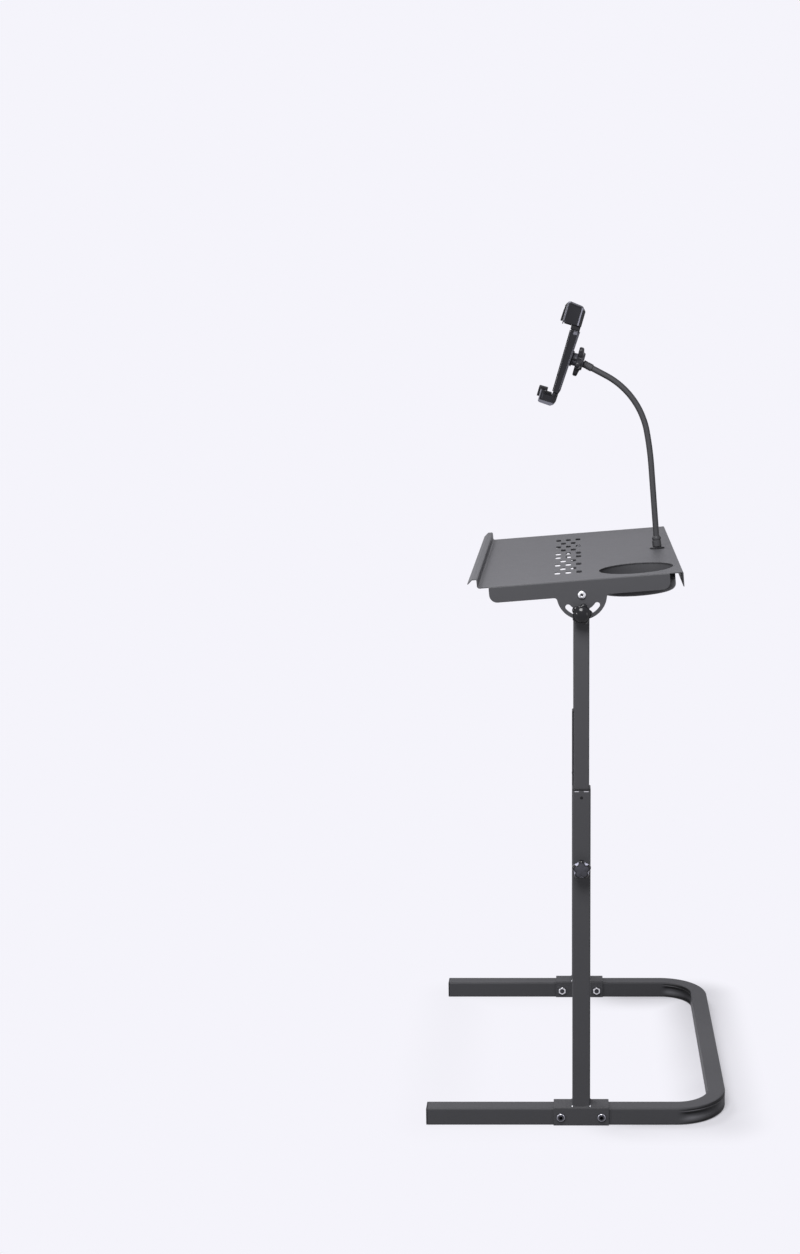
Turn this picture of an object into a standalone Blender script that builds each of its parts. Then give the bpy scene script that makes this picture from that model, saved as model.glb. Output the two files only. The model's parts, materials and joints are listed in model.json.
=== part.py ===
"""Height-adjustable steel desk stand with a tilting tray and a gooseneck tablet holder.

Units are metres and +Z is up.  The origin is on the floor in the middle of the base.
The open ends of the base point to -X, where the rider sits.  Near pieces are on the -Y side.
"""

import math

import bmesh
import bpy
from mathutils import Vector

# Clearances
GAP = 0.0003
SLIDE_FIT = 0.00025
HOLE_FIT = 0.0003

# Base tube, bent to a U
BASE_LENGTH = 0.510
BASE_WIDTH = 0.625
BASE_TUBE = 0.030
BASE_WALL = 0.0015
BASE_CORNER = 0.003
BASE_BEND = 0.088
BEND_CREASE = 0.003
BEND_STEPS = 8
END_FLANGE = 0.002
END_PLUG = 0.012

# Saddle brackets
BRACKET_LENGTH = 0.093
BRACKET_PLATE = 0.003
BRACKET_CLEAR = 0.001
BRACKET_BOLT_PITCH = 0.0685
BRACKET_BOLT_HEIGHT = 0.016
SADDLE_BOLT = 0.008
SADDLE_HEAD = 0.014
SADDLE_HEAD_HEIGHT = 0.0044
SADDLE_NUT_FLATS = 0.013
SADDLE_NUT_HEIGHT = 0.0065

# Outer sleeves
POST_X = 0.006
SLEEVE_TUBE = 0.030
SLEEVE_WALL = 0.0015
SLEEVE_CORNER = 0.003
SLEEVE_TOP = 0.580
BUSH_FLANGE = 0.0022
BUSH_SKIRT = 0.020
BUSH_NUB = 0.0054
BUSH_NUB_DROP = 0.012

# Height clamp knobs
CLAMP_HEIGHT = 0.452
CLAMP_STUD = 0.008
BOSS_DIAMETER = 0.016
BOSS_LENGTH = 0.007
CLAMP_KNOB = 0.032
CLAMP_KNOB_THICKNESS = 0.013

# Inner posts
POST_TUBE = 0.025
POST_WALL = 0.0015
POST_CORNER = 0.0025
POST_LENGTH = 0.6167
POST_CAP = 0.002
POST_CAP_PLUG = 0.0035
POST_ABOVE_PIVOT = 0.010

# Tray pivots
PIVOT_HEIGHT = 0.904
PIVOT_BOLT = 0.006
PIVOT_HEAD = 0.013
PIVOT_HEAD_HEIGHT = 0.0035
PIVOT_NUT_FLATS = 0.010
PIVOT_NUT_HEIGHT = 0.005
PIVOT_WASHER = 0.018
PIVOT_WASHER_THICKNESS = 0.003

# Tilt clamp knobs
TILT_RADIUS = 0.0298
TILT_STUD = 0.008
TILT_SLOT_CLEAR = 0.0008
TILT_SLOT_ANGLE = math.radians(52)
TILT_WASHER = 0.018
TILT_WASHER_THICKNESS = 0.0015
TILT_NUT_FLATS = 0.013
TILT_NUT_HEIGHT = 0.0065
TILT_KNOB = 0.035
TILT_KNOB_THICKNESS = 0.015

# Tray
TRAY_TILT = math.radians(4.53)
TRAY_LENGTH = 0.330
TRAY_SHEET = 0.0015
TRAY_RISE = 0.0238
TRAY_BEND = 0.002
TRAY_LIP_RISE = 0.0143
TRAY_LIP_OUT = 0.009
TRAY_LIP_HOOK = 0.0077
TRAY_LIP_DROP = 0.0068
TRAY_FOLD = 0.0237
FLANGE_INSET_LEFT = 0.017
FLANGE_INSET_RIGHT = 0.022
FLANGE_DEPTH = 0.026
FLANGE_CORNER = 0.013
EAR_RADIUS = 0.0405
EAR_FILLET = 0.005

# Vent slots
VENT_LENGTH = 0.028
VENT_WIDTH = 0.009
VENT_PITCH_X = 0.018
VENT_PITCH_Y = 0.048
VENT_ROWS = 10
VENT_X = -0.020

# Cup well
CUP_HOLE = 0.1224
CUP_INSET = 0.073
CUP_SIDE = 0.0881
CUP_DEPTH = 0.038
CUP_WALL = 0.0012
CUP_RIM = 0.0045
CUP_CORNER = 0.008
CUP_LEDGE = 0.0011

# Gooseneck
NECK_INSET = 0.0278
NECK_DIAMETER = 0.0105
NECK_STRAIGHT = 0.1432
NECK_SOFT_ARC = 0.063
NECK_SOFT_ANGLE = math.radians(6.3)
NECK_ARC = 0.1244
NECK_ARC_ANGLE = math.radians(51.4)
NECK_END = 0.0449
NECK_LINKS = 6
NECK_FIRST_HINGE = 0.070
NECK_PITCH = 0.060
NECK_BALL = 0.0078
NECK_HINGE_GAP = 0.0022
NECK_STUD = 0.008
NECK_BASE_DIAMETER = 0.026
NECK_BASE_THICKNESS = 0.003
NECK_PIN_LENGTH = 0.012
NECK_FOOT_DIAMETER = 0.016
NECK_FOOT_LENGTH = 0.019
NECK_NUT_FLATS = 0.013
NECK_NUT_HEIGHT = 0.0065
FERRULE_DIAMETER = 0.013
FERRULE_LENGTH = 0.018

# Ball joint of the holder
BALL_DIAMETER = 0.016
BALL_OFFSET = 0.01275
BALL_STEM = 0.0064
BALL_STEM_DEPTH = 0.009
BALL_ANGLE = math.radians(11.5)
LINER_WALL = 0.0014
COLLET_WALL = 0.0012
COLLET_REACH = 0.005
COLLAR_RADIUS = 0.0275
COLLAR_WAIST = 0.015
COLLAR_BACK = 0.0003
COLLAR_WING = 0.0085
COLLAR_HUB = 0.004
COLLAR_FRONT = COLLAR_WING + COLLAR_HUB
COLLAR_PLATE_FACE = COLLET_REACH + 0.0016

# Tablet holder, along its length (up) and its depth (towards the neck)
BACK_TOP = 0.048
BACK_BOTTOM = 0.064
BACK_FACE = 0.0239
BACK_THICKNESS = 0.0117
BACK_FLARE = 0.0046
BACK_CHAMFER = 0.0022
BACK_CHAMFER_HEIGHT = 0.007
BACK_WIDTH = 0.056
COLLET_FLANGE = 0.028
COLLET_FLANGE_FACE = 0.007
TONGUE_WIDTH = 0.022
TONGUE_THICKNESS = 0.003
TONGUE_LENGTH = 0.095
TONGUE_DEPTH = 0.0195
JAW_WIDTH = 0.062
JAW_SHOULDER_INSET = 0.001
JAW_SCREW_SEAT = 0.0131
UPPER_JAW_BASE = BACK_TOP + 0.0063
UPPER_JAW_HEIGHT = 0.0392
UPPER_JAW_DEPTH = 0.0177
UPPER_JAW_REAR = BACK_FACE - BACK_THICKNESS - BACK_FLARE + 0.0008
UPPER_LIP = 0.0018
UPPER_LIP_REACH = 0.0012
LOWER_JAW_TOP = BACK_BOTTOM + 0.0025
LOWER_JAW_HEIGHT = 0.0209
LOWER_JAW_DEPTH = 0.0213
LOWER_JAW_REAR = BACK_FACE - BACK_THICKNESS + BACK_CHAMFER - 0.0001
LOWER_LIP = 0.0086
LOWER_LIP_REACH = 0.0034
GUARD = 0.004
GUARD_TOP = 0.0028
GUARD_LEG = 0.0023
GUARD_REACH = 0.0165
JAW_SCREW = 0.004
PAD = 0.0015
PAD_RELIEF = 0.0016

# Positions that follow from the sizes
RAIL_Y = BASE_WIDTH / 2 - BASE_TUBE / 2
BRACKET_TOP = BASE_TUBE + GAP + BRACKET_PLATE
BRACKET_OUT = BASE_TUBE / 2 + GAP + BRACKET_PLATE
SLEEVE_BOTTOM = BRACKET_TOP + GAP
POST_TOP = PIVOT_HEIGHT + POST_ABOVE_PIVOT - POST_CAP - GAP
EAR_INNER = POST_TUBE / 2 + PIVOT_WASHER_THICKNESS + 2 * GAP
EAR_OUTER = EAR_INNER + TRAY_SHEET
TRAY_HALF = RAIL_Y + EAR_OUTER
TRAY_UNDER = TRAY_RISE - TRAY_SHEET
FLANGE_LEFT = TRAY_LENGTH / 2 - FLANGE_INSET_LEFT
FLANGE_RIGHT = TRAY_LENGTH / 2 - FLANGE_INSET_RIGHT
CUP_X = TRAY_LENGTH / 2 - CUP_INSET
CUP_Y = CUP_SIDE - TRAY_HALF
NECK_X = TRAY_LENGTH / 2 - NECK_INSET
NECK_LENGTH = NECK_STRAIGHT + NECK_SOFT_ARC + NECK_ARC + NECK_END
NECK_END_ANGLE = NECK_SOFT_ANGLE + NECK_ARC_ANGLE

for leftover in list(bpy.data.objects):
    bpy.data.objects.remove(leftover, do_unlink=True)

PARTS = bpy.data.collections.new("desk_stand")
CUTTERS = bpy.data.collections.new("desk_stand_cutters")
bpy.context.scene.collection.children.link(PARTS)
bpy.context.scene.collection.children.link(CUTTERS)


def material(name, colour, roughness, metallic):
    """Return a Principled material with one plain colour."""
    made = bpy.data.materials.new(name)
    made.use_nodes = True
    shader = made.node_tree.nodes["Principled BSDF"]
    shader.inputs["Base Color"].default_value = (*colour, 1.0)
    shader.inputs["Roughness"].default_value = roughness
    shader.inputs["Metallic"].default_value = metallic
    made.diffuse_color = (*colour, 1.0)
    return made


COAT = material("powder_coat", (0.085, 0.085, 0.093), 0.5, 0.0)
COAT_TRAY = material("tray_coat", (0.090, 0.090, 0.098), 0.45, 0.0)
ZINC = material("zinc", (0.62, 0.62, 0.64), 0.3, 1.0)
BOLT_STEEL = material("bolt_steel", (0.30, 0.30, 0.32), 0.3, 1.0)
PLASTIC = material("black_plastic", (0.018, 0.018, 0.020), 0.45, 0.0)
GLOSS = material("gloss_plastic", (0.012, 0.012, 0.014), 0.18, 0.0)
HOLDER = material("holder_plastic", (0.060, 0.060, 0.068), 0.5, 0.0)
NECK = material("neck_coat", (0.045, 0.045, 0.050), 0.4, 0.0)
RUBBER = material("pad_rubber", (0.022, 0.022, 0.024), 0.85, 0.0)


def empty(name, location, rotation=(0, 0, 0), parent=None):
    """Add an empty that carries the pieces of one frame."""
    made = bpy.data.objects.new(name, None)
    made.empty_display_size = 0.02
    made.location = location
    made.rotation_euler = rotation
    made.parent = parent
    PARTS.objects.link(made)
    return made


def place(mesh, name, paint, parent, location=(0, 0, 0), rotation=(0, 0, 0), cutter=False):
    """Make an object of a mesh, with its material, parent and place."""
    made = bpy.data.objects.new(name, mesh)
    made.location = location
    made.rotation_euler = rotation
    made.parent = parent
    if cutter:
        made.hide_render = True
        made.display_type = "WIRE"
        CUTTERS.objects.link(made)
    else:
        mesh.materials.append(paint)
        PARTS.objects.link(made)
    return made


def smooth(made, angle=35):
    """Shade a round piece smooth but keep its edges sharp."""
    made.data.shade_smooth()
    made.data.set_sharp_from_angle(angle=math.radians(angle))
    return made


def mesh_of(builder):
    """Return a new mesh filled from a bmesh, which is freed."""
    mesh = bpy.data.meshes.new("shape")
    bmesh.ops.recalc_face_normals(builder, faces=builder.faces)
    builder.to_mesh(mesh)
    builder.free()
    return mesh


def box_mesh(size):
    """Return a box of three sizes, centred."""
    builder = bmesh.new()
    bmesh.ops.create_cube(builder, size=1.0)
    bmesh.ops.scale(builder, vec=Vector(size), verts=builder.verts)
    return mesh_of(builder)


def rod_mesh(radius, start, end, sides=16):
    """Return a cylinder or prism along Z between two heights."""
    builder = bmesh.new()
    bmesh.ops.create_cone(builder, cap_ends=True, segments=sides, radius1=radius,
                          radius2=radius, depth=end - start)
    bmesh.ops.translate(builder, vec=(0, 0, (start + end) / 2), verts=builder.verts)
    return mesh_of(builder)


def ball_mesh(radius, sides=16, rings=10):
    """Return a sphere about the origin."""
    builder = bmesh.new()
    bmesh.ops.create_uvsphere(builder, u_segments=sides, v_segments=rings, radius=radius)
    return mesh_of(builder)


def join_meshes(meshes):
    """Return one mesh that holds the faces of several."""
    builder = bmesh.new()
    for mesh in meshes:
        builder.from_mesh(mesh)
        bpy.data.meshes.remove(mesh)
    return mesh_of(builder)


def moved(mesh, offset):
    """Shift the points of a mesh and return it."""
    for vertex in mesh.vertices:
        vertex.co = vertex.co + Vector(offset)
    return mesh


def bevel(made, width, segments=1, angle=40):
    """Round the sharp edges of an object."""
    rounding = made.modifiers.new("rounding", "BEVEL")
    rounding.width = width
    rounding.segments = segments
    rounding.limit_method = "ANGLE"
    rounding.angle_limit = math.radians(angle)
    return made


def boolean(made, other, operation="DIFFERENCE"):
    """Cut another object out of this one, or join it on."""
    step = made.modifiers.new(operation.lower(), "BOOLEAN")
    step.operation = operation
    step.solver = "EXACT"
    step.object = other
    return made


def turned(name, profile, paint, parent, location=(0, 0, 0), rotation=(0, 0, 0), steps=16):
    """Turn a profile of (radius, height) points, listed top to bottom, about local Z."""
    builder = bmesh.new()
    closed = profile[0] == profile[-1]
    points = [builder.verts.new((radius, 0, height))
              for radius, height in (profile[:-1] if closed else profile)]
    for first, second in zip(points, points[1:] + points[:1] if closed else points[1:]):
        if max(first.co.x, second.co.x) > 1e-7:
            builder.edges.new((first, second))
    mesh = bpy.data.meshes.new(name)
    builder.to_mesh(mesh)
    builder.free()
    made = place(mesh, name, paint, parent, location, rotation, cutter=paint is None)
    screw = made.modifiers.new("turning", "SCREW")
    screw.axis = "Z"
    screw.steps = steps
    screw.render_steps = steps
    screw.use_merge_vertices = True
    screw.merge_threshold = 0.00001
    screw.use_smooth_shade = True
    return made


def ring_profile(outer, inner, top, bottom):
    """Return the closed profile of a plain ring, outer side first."""
    return [(inner, top), (outer, top), (outer, bottom), (inner, bottom), (inner, top)]


def rounded(corners, steps=3):
    """Return an outline whose corners (x, y, radius) are rounded."""
    outline = []
    count = len(corners)
    for index, (x, y, radius) in enumerate(corners):
        here = Vector((x, y))
        if radius <= 0:
            outline.append(here)
            continue
        back = (Vector(corners[index - 1][:2]) - here).normalized()
        ahead = (Vector(corners[(index + 1) % count][:2]) - here).normalized()
        half = back.angle(ahead) / 2
        centre = here + (back + ahead).normalized() * (radius / math.sin(half))
        start = here + back * (radius / math.tan(half)) - centre
        end = here + ahead * (radius / math.tan(half)) - centre
        sweep = start.angle_signed(end)
        first = math.atan2(start.y, start.x)
        for step in range(steps + 1):
            turn = first - sweep * step / steps
            outline.append(centre + radius * Vector((math.cos(turn), math.sin(turn))))
    return outline


def square(width, corner, steps=3):
    """Return a rounded square outline."""
    half = width / 2
    return rounded([(half, half, corner), (-half, half, corner),
                    (-half, -half, corner), (half, -half, corner)], steps)


def plate_mesh(outline, bottom, top):
    """Return the flat solid of an outline, from a filled 2D curve carried along Z."""
    curve = bpy.data.curves.new("outline", "CURVE")
    curve.dimensions = "2D"
    curve.fill_mode = "BOTH"
    curve.extrude = (top - bottom) / 2
    spline = curve.splines.new("POLY")
    spline.points.add(len(outline) - 1)
    for point, corner in zip(spline.points, outline):
        point.co = (corner[0], corner[1], 0, 1)
    spline.use_cyclic_u = True
    guide = bpy.data.objects.new("outline", curve)
    CUTTERS.objects.link(guide)
    bpy.context.view_layer.update()
    graph = bpy.context.evaluated_depsgraph_get()
    flat = bpy.data.meshes.new_from_object(guide.evaluated_get(graph))
    bpy.data.objects.remove(guide, do_unlink=True)
    builder = bmesh.new()
    builder.from_mesh(flat)
    bpy.data.meshes.remove(flat)
    bmesh.ops.remove_doubles(builder, verts=builder.verts, dist=0.000005)
    bmesh.ops.translate(builder, vec=(0, 0, (top + bottom) / 2), verts=builder.verts)
    bmesh.ops.dissolve_limit(builder, angle_limit=math.radians(0.5),
                             verts=builder.verts, edges=builder.edges)
    return mesh_of(builder)


def square_tube(name, outer, corner, bore, bore_corner, bottom, top, paint, parent):
    """Add an upright square tube with an open bore."""
    made = place(plate_mesh(square(outer, corner), bottom, top), name, paint, parent,
                 cutter=paint is None)
    hollow = place(plate_mesh(square(bore, bore_corner), bottom - 0.01, top + 0.01),
                   name + "_hollow", None, parent, cutter=True)
    return boolean(made, hollow)


def lobed(radius, waist, lobes, steps=8, turn=0.0):
    """Return a knob outline with round lobes between its waist and its radius."""
    outline = []
    for index in range(lobes * steps):
        angle = 2 * math.pi * index / (lobes * steps) + turn
        wave = 0.5 + 0.5 * math.cos(lobes * (angle - turn))
        reach = waist + (radius - waist) * wave ** 0.7
        outline.append((reach * math.cos(angle), reach * math.sin(angle)))
    return outline


ACROSS = (-math.pi / 2, 0, 0)
UPRIGHT = (math.pi / 2, 0, 0)


def button_bolt(name, shank, head, head_height, length, flats, paint, parent, location):
    """Add a button-head bolt along +Y, its head outside, its shank pointing inwards."""
    dome = [(head / 2 * math.sin(math.radians(turn)),
             head_height * (0.35 + 0.65 * math.cos(math.radians(turn))))
            for turn in (0, 30, 60, 90)]
    profile = dome + [(head / 2, 0), (shank / 2, 0), (shank / 2, -length), (0, -length)]
    made = turned(name, profile, paint, parent, location, ACROSS, 12)
    socket = place(rod_mesh(flats / math.sqrt(3), head_height * 0.5, head_height * 1.5, 6),
                   name + "_socket", None, parent, location, ACROSS, cutter=True)
    return boolean(made, socket)


def hex_nut(name, flats, height, bore, paint, parent, location, rotation):
    """Add a hexagon nut whose lower face is at its location, along local Z."""
    made = place(rod_mesh(flats / math.sqrt(3), 0, height, 6), name, paint, parent,
                 location, rotation)
    drill = place(rod_mesh(bore / 2 + HOLE_FIT, -0.01, height + 0.01, 12), name + "_bore",
                  None, parent, location, rotation, cutter=True)
    return boolean(made, drill)


def knob(name, diameter, thickness, stand, stud, reach, paint, parent, location):
    """Add a five-lobed knob along +Y with a short hub and its threaded stud inwards."""
    radius = diameter / 2
    made = place(plate_mesh(lobed(radius, radius * 0.78, 5, 6, math.pi / 2), stand,
                            stand + thickness), name, paint, parent, location, ACROSS)
    bevel(made, thickness * 0.24, 1, 50)
    hub = place(rod_mesh(radius * 0.5, 0, stand + thickness / 2, 16), name + "_hub", None,
                parent, location, ACROSS, cutter=True)
    pin = place(rod_mesh(stud / 2, -reach, stand / 2 + thickness / 2, 12), name + "_stud",
                None, parent, location, ACROSS, cutter=True)
    boolean(made, hub, "UNION")
    boolean(made, pin, "UNION")
    return smooth(made)


# Frames: each side frame has its +Y pointing away from the middle of the stand
SIDES = (("near", -1), ("far", 1))
RAIL_FRAME = {}
PIVOT_FRAME = {}
for side, sign in SIDES:
    facing = (0, 0, 0) if sign > 0 else (0, 0, math.pi)
    RAIL_FRAME[side] = empty("rail_frame_" + side, (POST_X, sign * RAIL_Y, 0), facing)
    PIVOT_FRAME[side] = empty("pivot_frame_" + side, (POST_X, sign * RAIL_Y, PIVOT_HEIGHT), facing)


def bend_frame(sign):
    """Return the centre of a base bend in plan."""
    radius = BASE_BEND - BASE_TUBE / 2
    return Vector((BASE_LENGTH / 2 - BASE_BEND, sign * (RAIL_Y - radius)))


def base_path():
    """Return the middle line of the base tube in plan, near end first."""
    radius = BASE_BEND - BASE_TUBE / 2
    start = -BASE_LENGTH / 2 + END_FLANGE + GAP
    path = [(start, -RAIL_Y)]
    for step in range(BEND_STEPS + 1):
        turn = -math.pi / 2 + math.pi / 2 * step / BEND_STEPS
        centre = bend_frame(-1)
        path.append((centre.x + radius * math.cos(turn), centre.y + radius * math.sin(turn)))
    for step in range(BEND_STEPS + 1):
        turn = math.pi / 2 * step / BEND_STEPS
        centre = bend_frame(1)
        path.append((centre.x + radius * math.cos(turn), centre.y + radius * math.sin(turn)))
    path.append((start, RAIL_Y))
    return path


def make_base_tube():
    """Add the bent base tube: a square profile along the U, creased in its bends."""
    profile = bpy.data.curves.new("base_profile", "CURVE")
    profile.dimensions = "2D"
    half = BASE_TUBE / 2
    rim = half - BASE_CORNER
    corners = []
    for quarter in range(4):
        turn = quarter * math.pi / 2
        cos, sin = round(math.cos(turn)), round(math.sin(turn))
        side_points = [(half, -rim * 0.6), (half, 0), (half, rim * 0.6)]
        if quarter % 2:
            side_points = []
        for step in range(3):
            angle = math.pi / 4 * step
            side_points.append((rim + BASE_CORNER * math.cos(angle),
                                rim + BASE_CORNER * math.sin(angle)))
        corners += [(x * cos - y * sin, x * sin + y * cos) for x, y in side_points]
    outline = profile.splines.new("POLY")
    outline.points.add(len(corners) - 1)
    for point, (x, y) in zip(outline.points, corners):
        point.co = (x, y, 0, 1)
    outline.use_cyclic_u = True
    profile_guide = bpy.data.objects.new("base_profile", profile)
    profile_guide.hide_render = True
    CUTTERS.objects.link(profile_guide)
    curve = bpy.data.curves.new("base_line", "CURVE")
    curve.dimensions = "3D"
    curve.twist_mode = "Z_UP"
    curve.bevel_mode = "OBJECT"
    curve.bevel_object = profile_guide
    path = base_path()
    line = curve.splines.new("POLY")
    line.points.add(len(path) - 1)
    for point, (x, y) in zip(line.points, path):
        point.co = (x, y, half, 1)
    guide = bpy.data.objects.new("base_line", curve)
    CUTTERS.objects.link(guide)
    bpy.context.view_layer.update()
    graph = bpy.context.evaluated_depsgraph_get()
    mesh = bpy.data.meshes.new_from_object(guide.evaluated_get(graph))
    bpy.data.objects.remove(guide, do_unlink=True)
    bpy.data.objects.remove(profile_guide, do_unlink=True)
    builder = bmesh.new()
    builder.from_mesh(mesh)
    bpy.data.meshes.remove(mesh)
    for vertex in builder.verts:
        for sign in (-1, 1):
            centre = bend_frame(sign)
            out = Vector((vertex.co.x - centre.x, vertex.co.y - centre.y))
            if out.x <= 0 or out.y * sign <= 0:
                continue
            turn = math.atan2(out.y * sign, out.x)
            height = (vertex.co.z - half) / rim
            if abs(height) >= 0.99:
                continue
            depth = BEND_CREASE * math.sin(2 * turn) ** 2 * (1 - height * height)
            middle = BASE_BEND - half
            if abs(out.length - middle) > half * 0.9:
                push = -depth if out.length > middle else depth
                shift = out.normalized() * push
                vertex.co.x += shift.x
                vertex.co.y += shift.y
    mesh = mesh_of(builder)
    made = place(mesh, "base_tube", COAT, None)
    shell = made.modifiers.new("wall", "SOLIDIFY")
    shell.thickness = BASE_WALL
    shell.offset = -1
    holes = []
    for sign in (-1, 1):
        for end in (-1, 1):
            drill = rod_mesh(SADDLE_BOLT / 2 + HOLE_FIT, -BASE_TUBE, BASE_TUBE, 12)
            for vertex in drill.vertices:
                vertex.co = Vector((vertex.co.x, vertex.co.z, -vertex.co.y))
            holes.append(moved(drill, (POST_X + end * BRACKET_BOLT_PITCH / 2, sign * RAIL_Y,
                                       BRACKET_BOLT_HEIGHT)))
    boolean(made, place(join_meshes(holes), "base_bolt_holes", None, None, cutter=True))
    return smooth(made)


def make_end_cap(side, sign):
    """Add the plastic cap that closes one open end of the base."""
    inner = BASE_TUBE - 2 * BASE_WALL - 2 * SLIDE_FIT
    plug = plate_mesh(square(inner, BASE_CORNER - BASE_WALL, 2), END_FLANGE / 2,
                      END_FLANGE + END_PLUG)
    flange = plate_mesh(square(BASE_TUBE, BASE_CORNER), 0, END_FLANGE)
    where = (-BASE_LENGTH / 2, sign * RAIL_Y, BASE_TUBE / 2)
    aim = (0, math.pi / 2, 0)
    made = place(flange, "base_end_cap_" + side, PLASTIC, None, where, aim)
    core = place(plug, "end_plug_" + side, None, None, where, aim, cutter=True)
    return boolean(made, core, "UNION")


def folded_mesh(profile, length):
    """Return an open sheet: a profile of (y, z) points carried along X, centred."""
    builder = bmesh.new()
    row = [builder.verts.new((-length / 2, y, z)) for y, z in profile]
    edges = [builder.edges.new(pair) for pair in zip(row, row[1:])]
    grown = bmesh.ops.extrude_edge_only(builder, edges=edges)["geom"]
    fresh = [item for item in grown if isinstance(item, bmesh.types.BMVert)]
    bmesh.ops.translate(builder, vec=(length, 0, 0), verts=fresh)
    return mesh_of(builder)


def make_bracket(side):
    """Add the folded saddle bracket that sits over one rail and carries a post."""
    middle = BRACKET_OUT - BRACKET_PLATE / 2
    top = BRACKET_TOP - BRACKET_PLATE / 2
    corner = BRACKET_PLATE
    profile = [(-middle, BRACKET_CLEAR)]
    for sign in (-1, 1):
        for step in range(4):
            turn = math.pi / 2 * step / 3
            across = middle - corner + corner * (math.cos(turn) if sign < 0 else math.sin(turn))
            height = top - corner + corner * (math.sin(turn) if sign < 0 else math.cos(turn))
            profile.append((sign * across, height))
    profile.append((middle, BRACKET_CLEAR))
    made = place(folded_mesh(profile, BRACKET_LENGTH), "saddle_bracket_" + side, COAT,
                 RAIL_FRAME[side])
    shell = made.modifiers.new("plate", "SOLIDIFY")
    shell.thickness = BRACKET_PLATE
    shell.offset = 0
    shell.use_even_offset = True
    holes = []
    for end in (-1, 1):
        drill = rod_mesh(SADDLE_BOLT / 2 + HOLE_FIT, -BASE_TUBE, BASE_TUBE, 12)
        for vertex in drill.vertices:
            vertex.co = Vector((vertex.co.x, vertex.co.z, -vertex.co.y))
        holes.append(moved(drill, (end * BRACKET_BOLT_PITCH / 2, 0, BRACKET_BOLT_HEIGHT)))
    boolean(made, place(join_meshes(holes), "bracket_holes_" + side, None, RAIL_FRAME[side],
                        cutter=True))
    return made


def make_saddle_bolts(side):
    """Add the two bolts and nuts that hold a bracket to its rail."""
    seat = BRACKET_OUT + GAP
    for index, end in enumerate((-1, 1), 1):
        x = end * BRACKET_BOLT_PITCH / 2
        label = side + "_" + str(index)
        button_bolt("saddle_bolt_" + label, SADDLE_BOLT, SADDLE_HEAD, SADDLE_HEAD_HEIGHT,
                    2 * seat + SADDLE_NUT_HEIGHT + 0.0015, 0.005, BOLT_STEEL,
                    RAIL_FRAME[side], (x, seat, BRACKET_BOLT_HEIGHT))
        hex_nut("saddle_nut_" + label, SADDLE_NUT_FLATS, SADDLE_NUT_HEIGHT, SADDLE_BOLT, ZINC,
                RAIL_FRAME[side], (x, -seat, BRACKET_BOLT_HEIGHT), UPRIGHT)


def make_sleeve(side):
    """Add one outer sleeve with its bush, its welded boss and its clamp knob."""
    frame = RAIL_FRAME[side]
    bore = SLEEVE_TUBE - 2 * SLEEVE_WALL
    made = square_tube("sleeve_" + side, SLEEVE_TUBE, SLEEVE_CORNER, bore,
                       SLEEVE_CORNER - SLEEVE_WALL, SLEEVE_BOTTOM, SLEEVE_TOP, COAT, frame)
    nub_height = SLEEVE_TOP - BUSH_NUB_DROP
    holes = join_meshes([
        moved(rod_mesh(CLAMP_STUD / 2 + HOLE_FIT, 0.005, SLEEVE_TUBE, 12), (0, -CLAMP_HEIGHT, 0)),
        moved(rod_mesh(BUSH_NUB / 2 + HOLE_FIT, 0.005, SLEEVE_TUBE, 12), (0, -nub_height, 0))])
    boolean(made, place(holes, "sleeve_holes_" + side, None, frame, rotation=ACROSS, cutter=True))
    post_bore = POST_TUBE + 2 * SLIDE_FIT
    low = SLEEVE_TOP + GAP
    bush = place(plate_mesh(square(SLEEVE_TUBE, SLEEVE_CORNER), low, low + BUSH_FLANGE),
                 "sleeve_bush_" + side, PLASTIC, frame)
    skirt = place(plate_mesh(square(bore - 2 * SLIDE_FIT, SLEEVE_CORNER - SLEEVE_WALL, 2),
                             SLEEVE_TOP - BUSH_SKIRT, low + BUSH_FLANGE / 2),
                  "bush_skirt_" + side, None, frame, cutter=True)
    hollow = place(plate_mesh(square(post_bore, POST_CORNER, 2), 0.1, low + 0.1),
                   "bush_hollow_" + side, None, frame, cutter=True)
    nub = place(rod_mesh(BUSH_NUB / 2, post_bore / 2 - 0.001, SLEEVE_TUBE / 2 + GAP, 12),
                "bush_nub_" + side, None, frame, (0, 0, nub_height), ACROSS, cutter=True)
    boolean(bush, skirt, "UNION")
    boolean(bush, nub, "UNION")
    boolean(bush, hollow)
    seat = SLEEVE_TUBE / 2 + GAP
    turned("knob_boss_" + side,
           ring_profile(BOSS_DIAMETER / 2, CLAMP_STUD / 2 + HOLE_FIT, BOSS_LENGTH, 0),
           COAT, frame, (0, seat, CLAMP_HEIGHT), ACROSS)
    start = seat + BOSS_LENGTH + GAP
    knob("height_knob_" + side, CLAMP_KNOB, CLAMP_KNOB_THICKNESS, 0.003, CLAMP_STUD,
         start - POST_TUBE / 2 - GAP, PLASTIC, frame, (0, start, CLAMP_HEIGHT))


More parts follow.
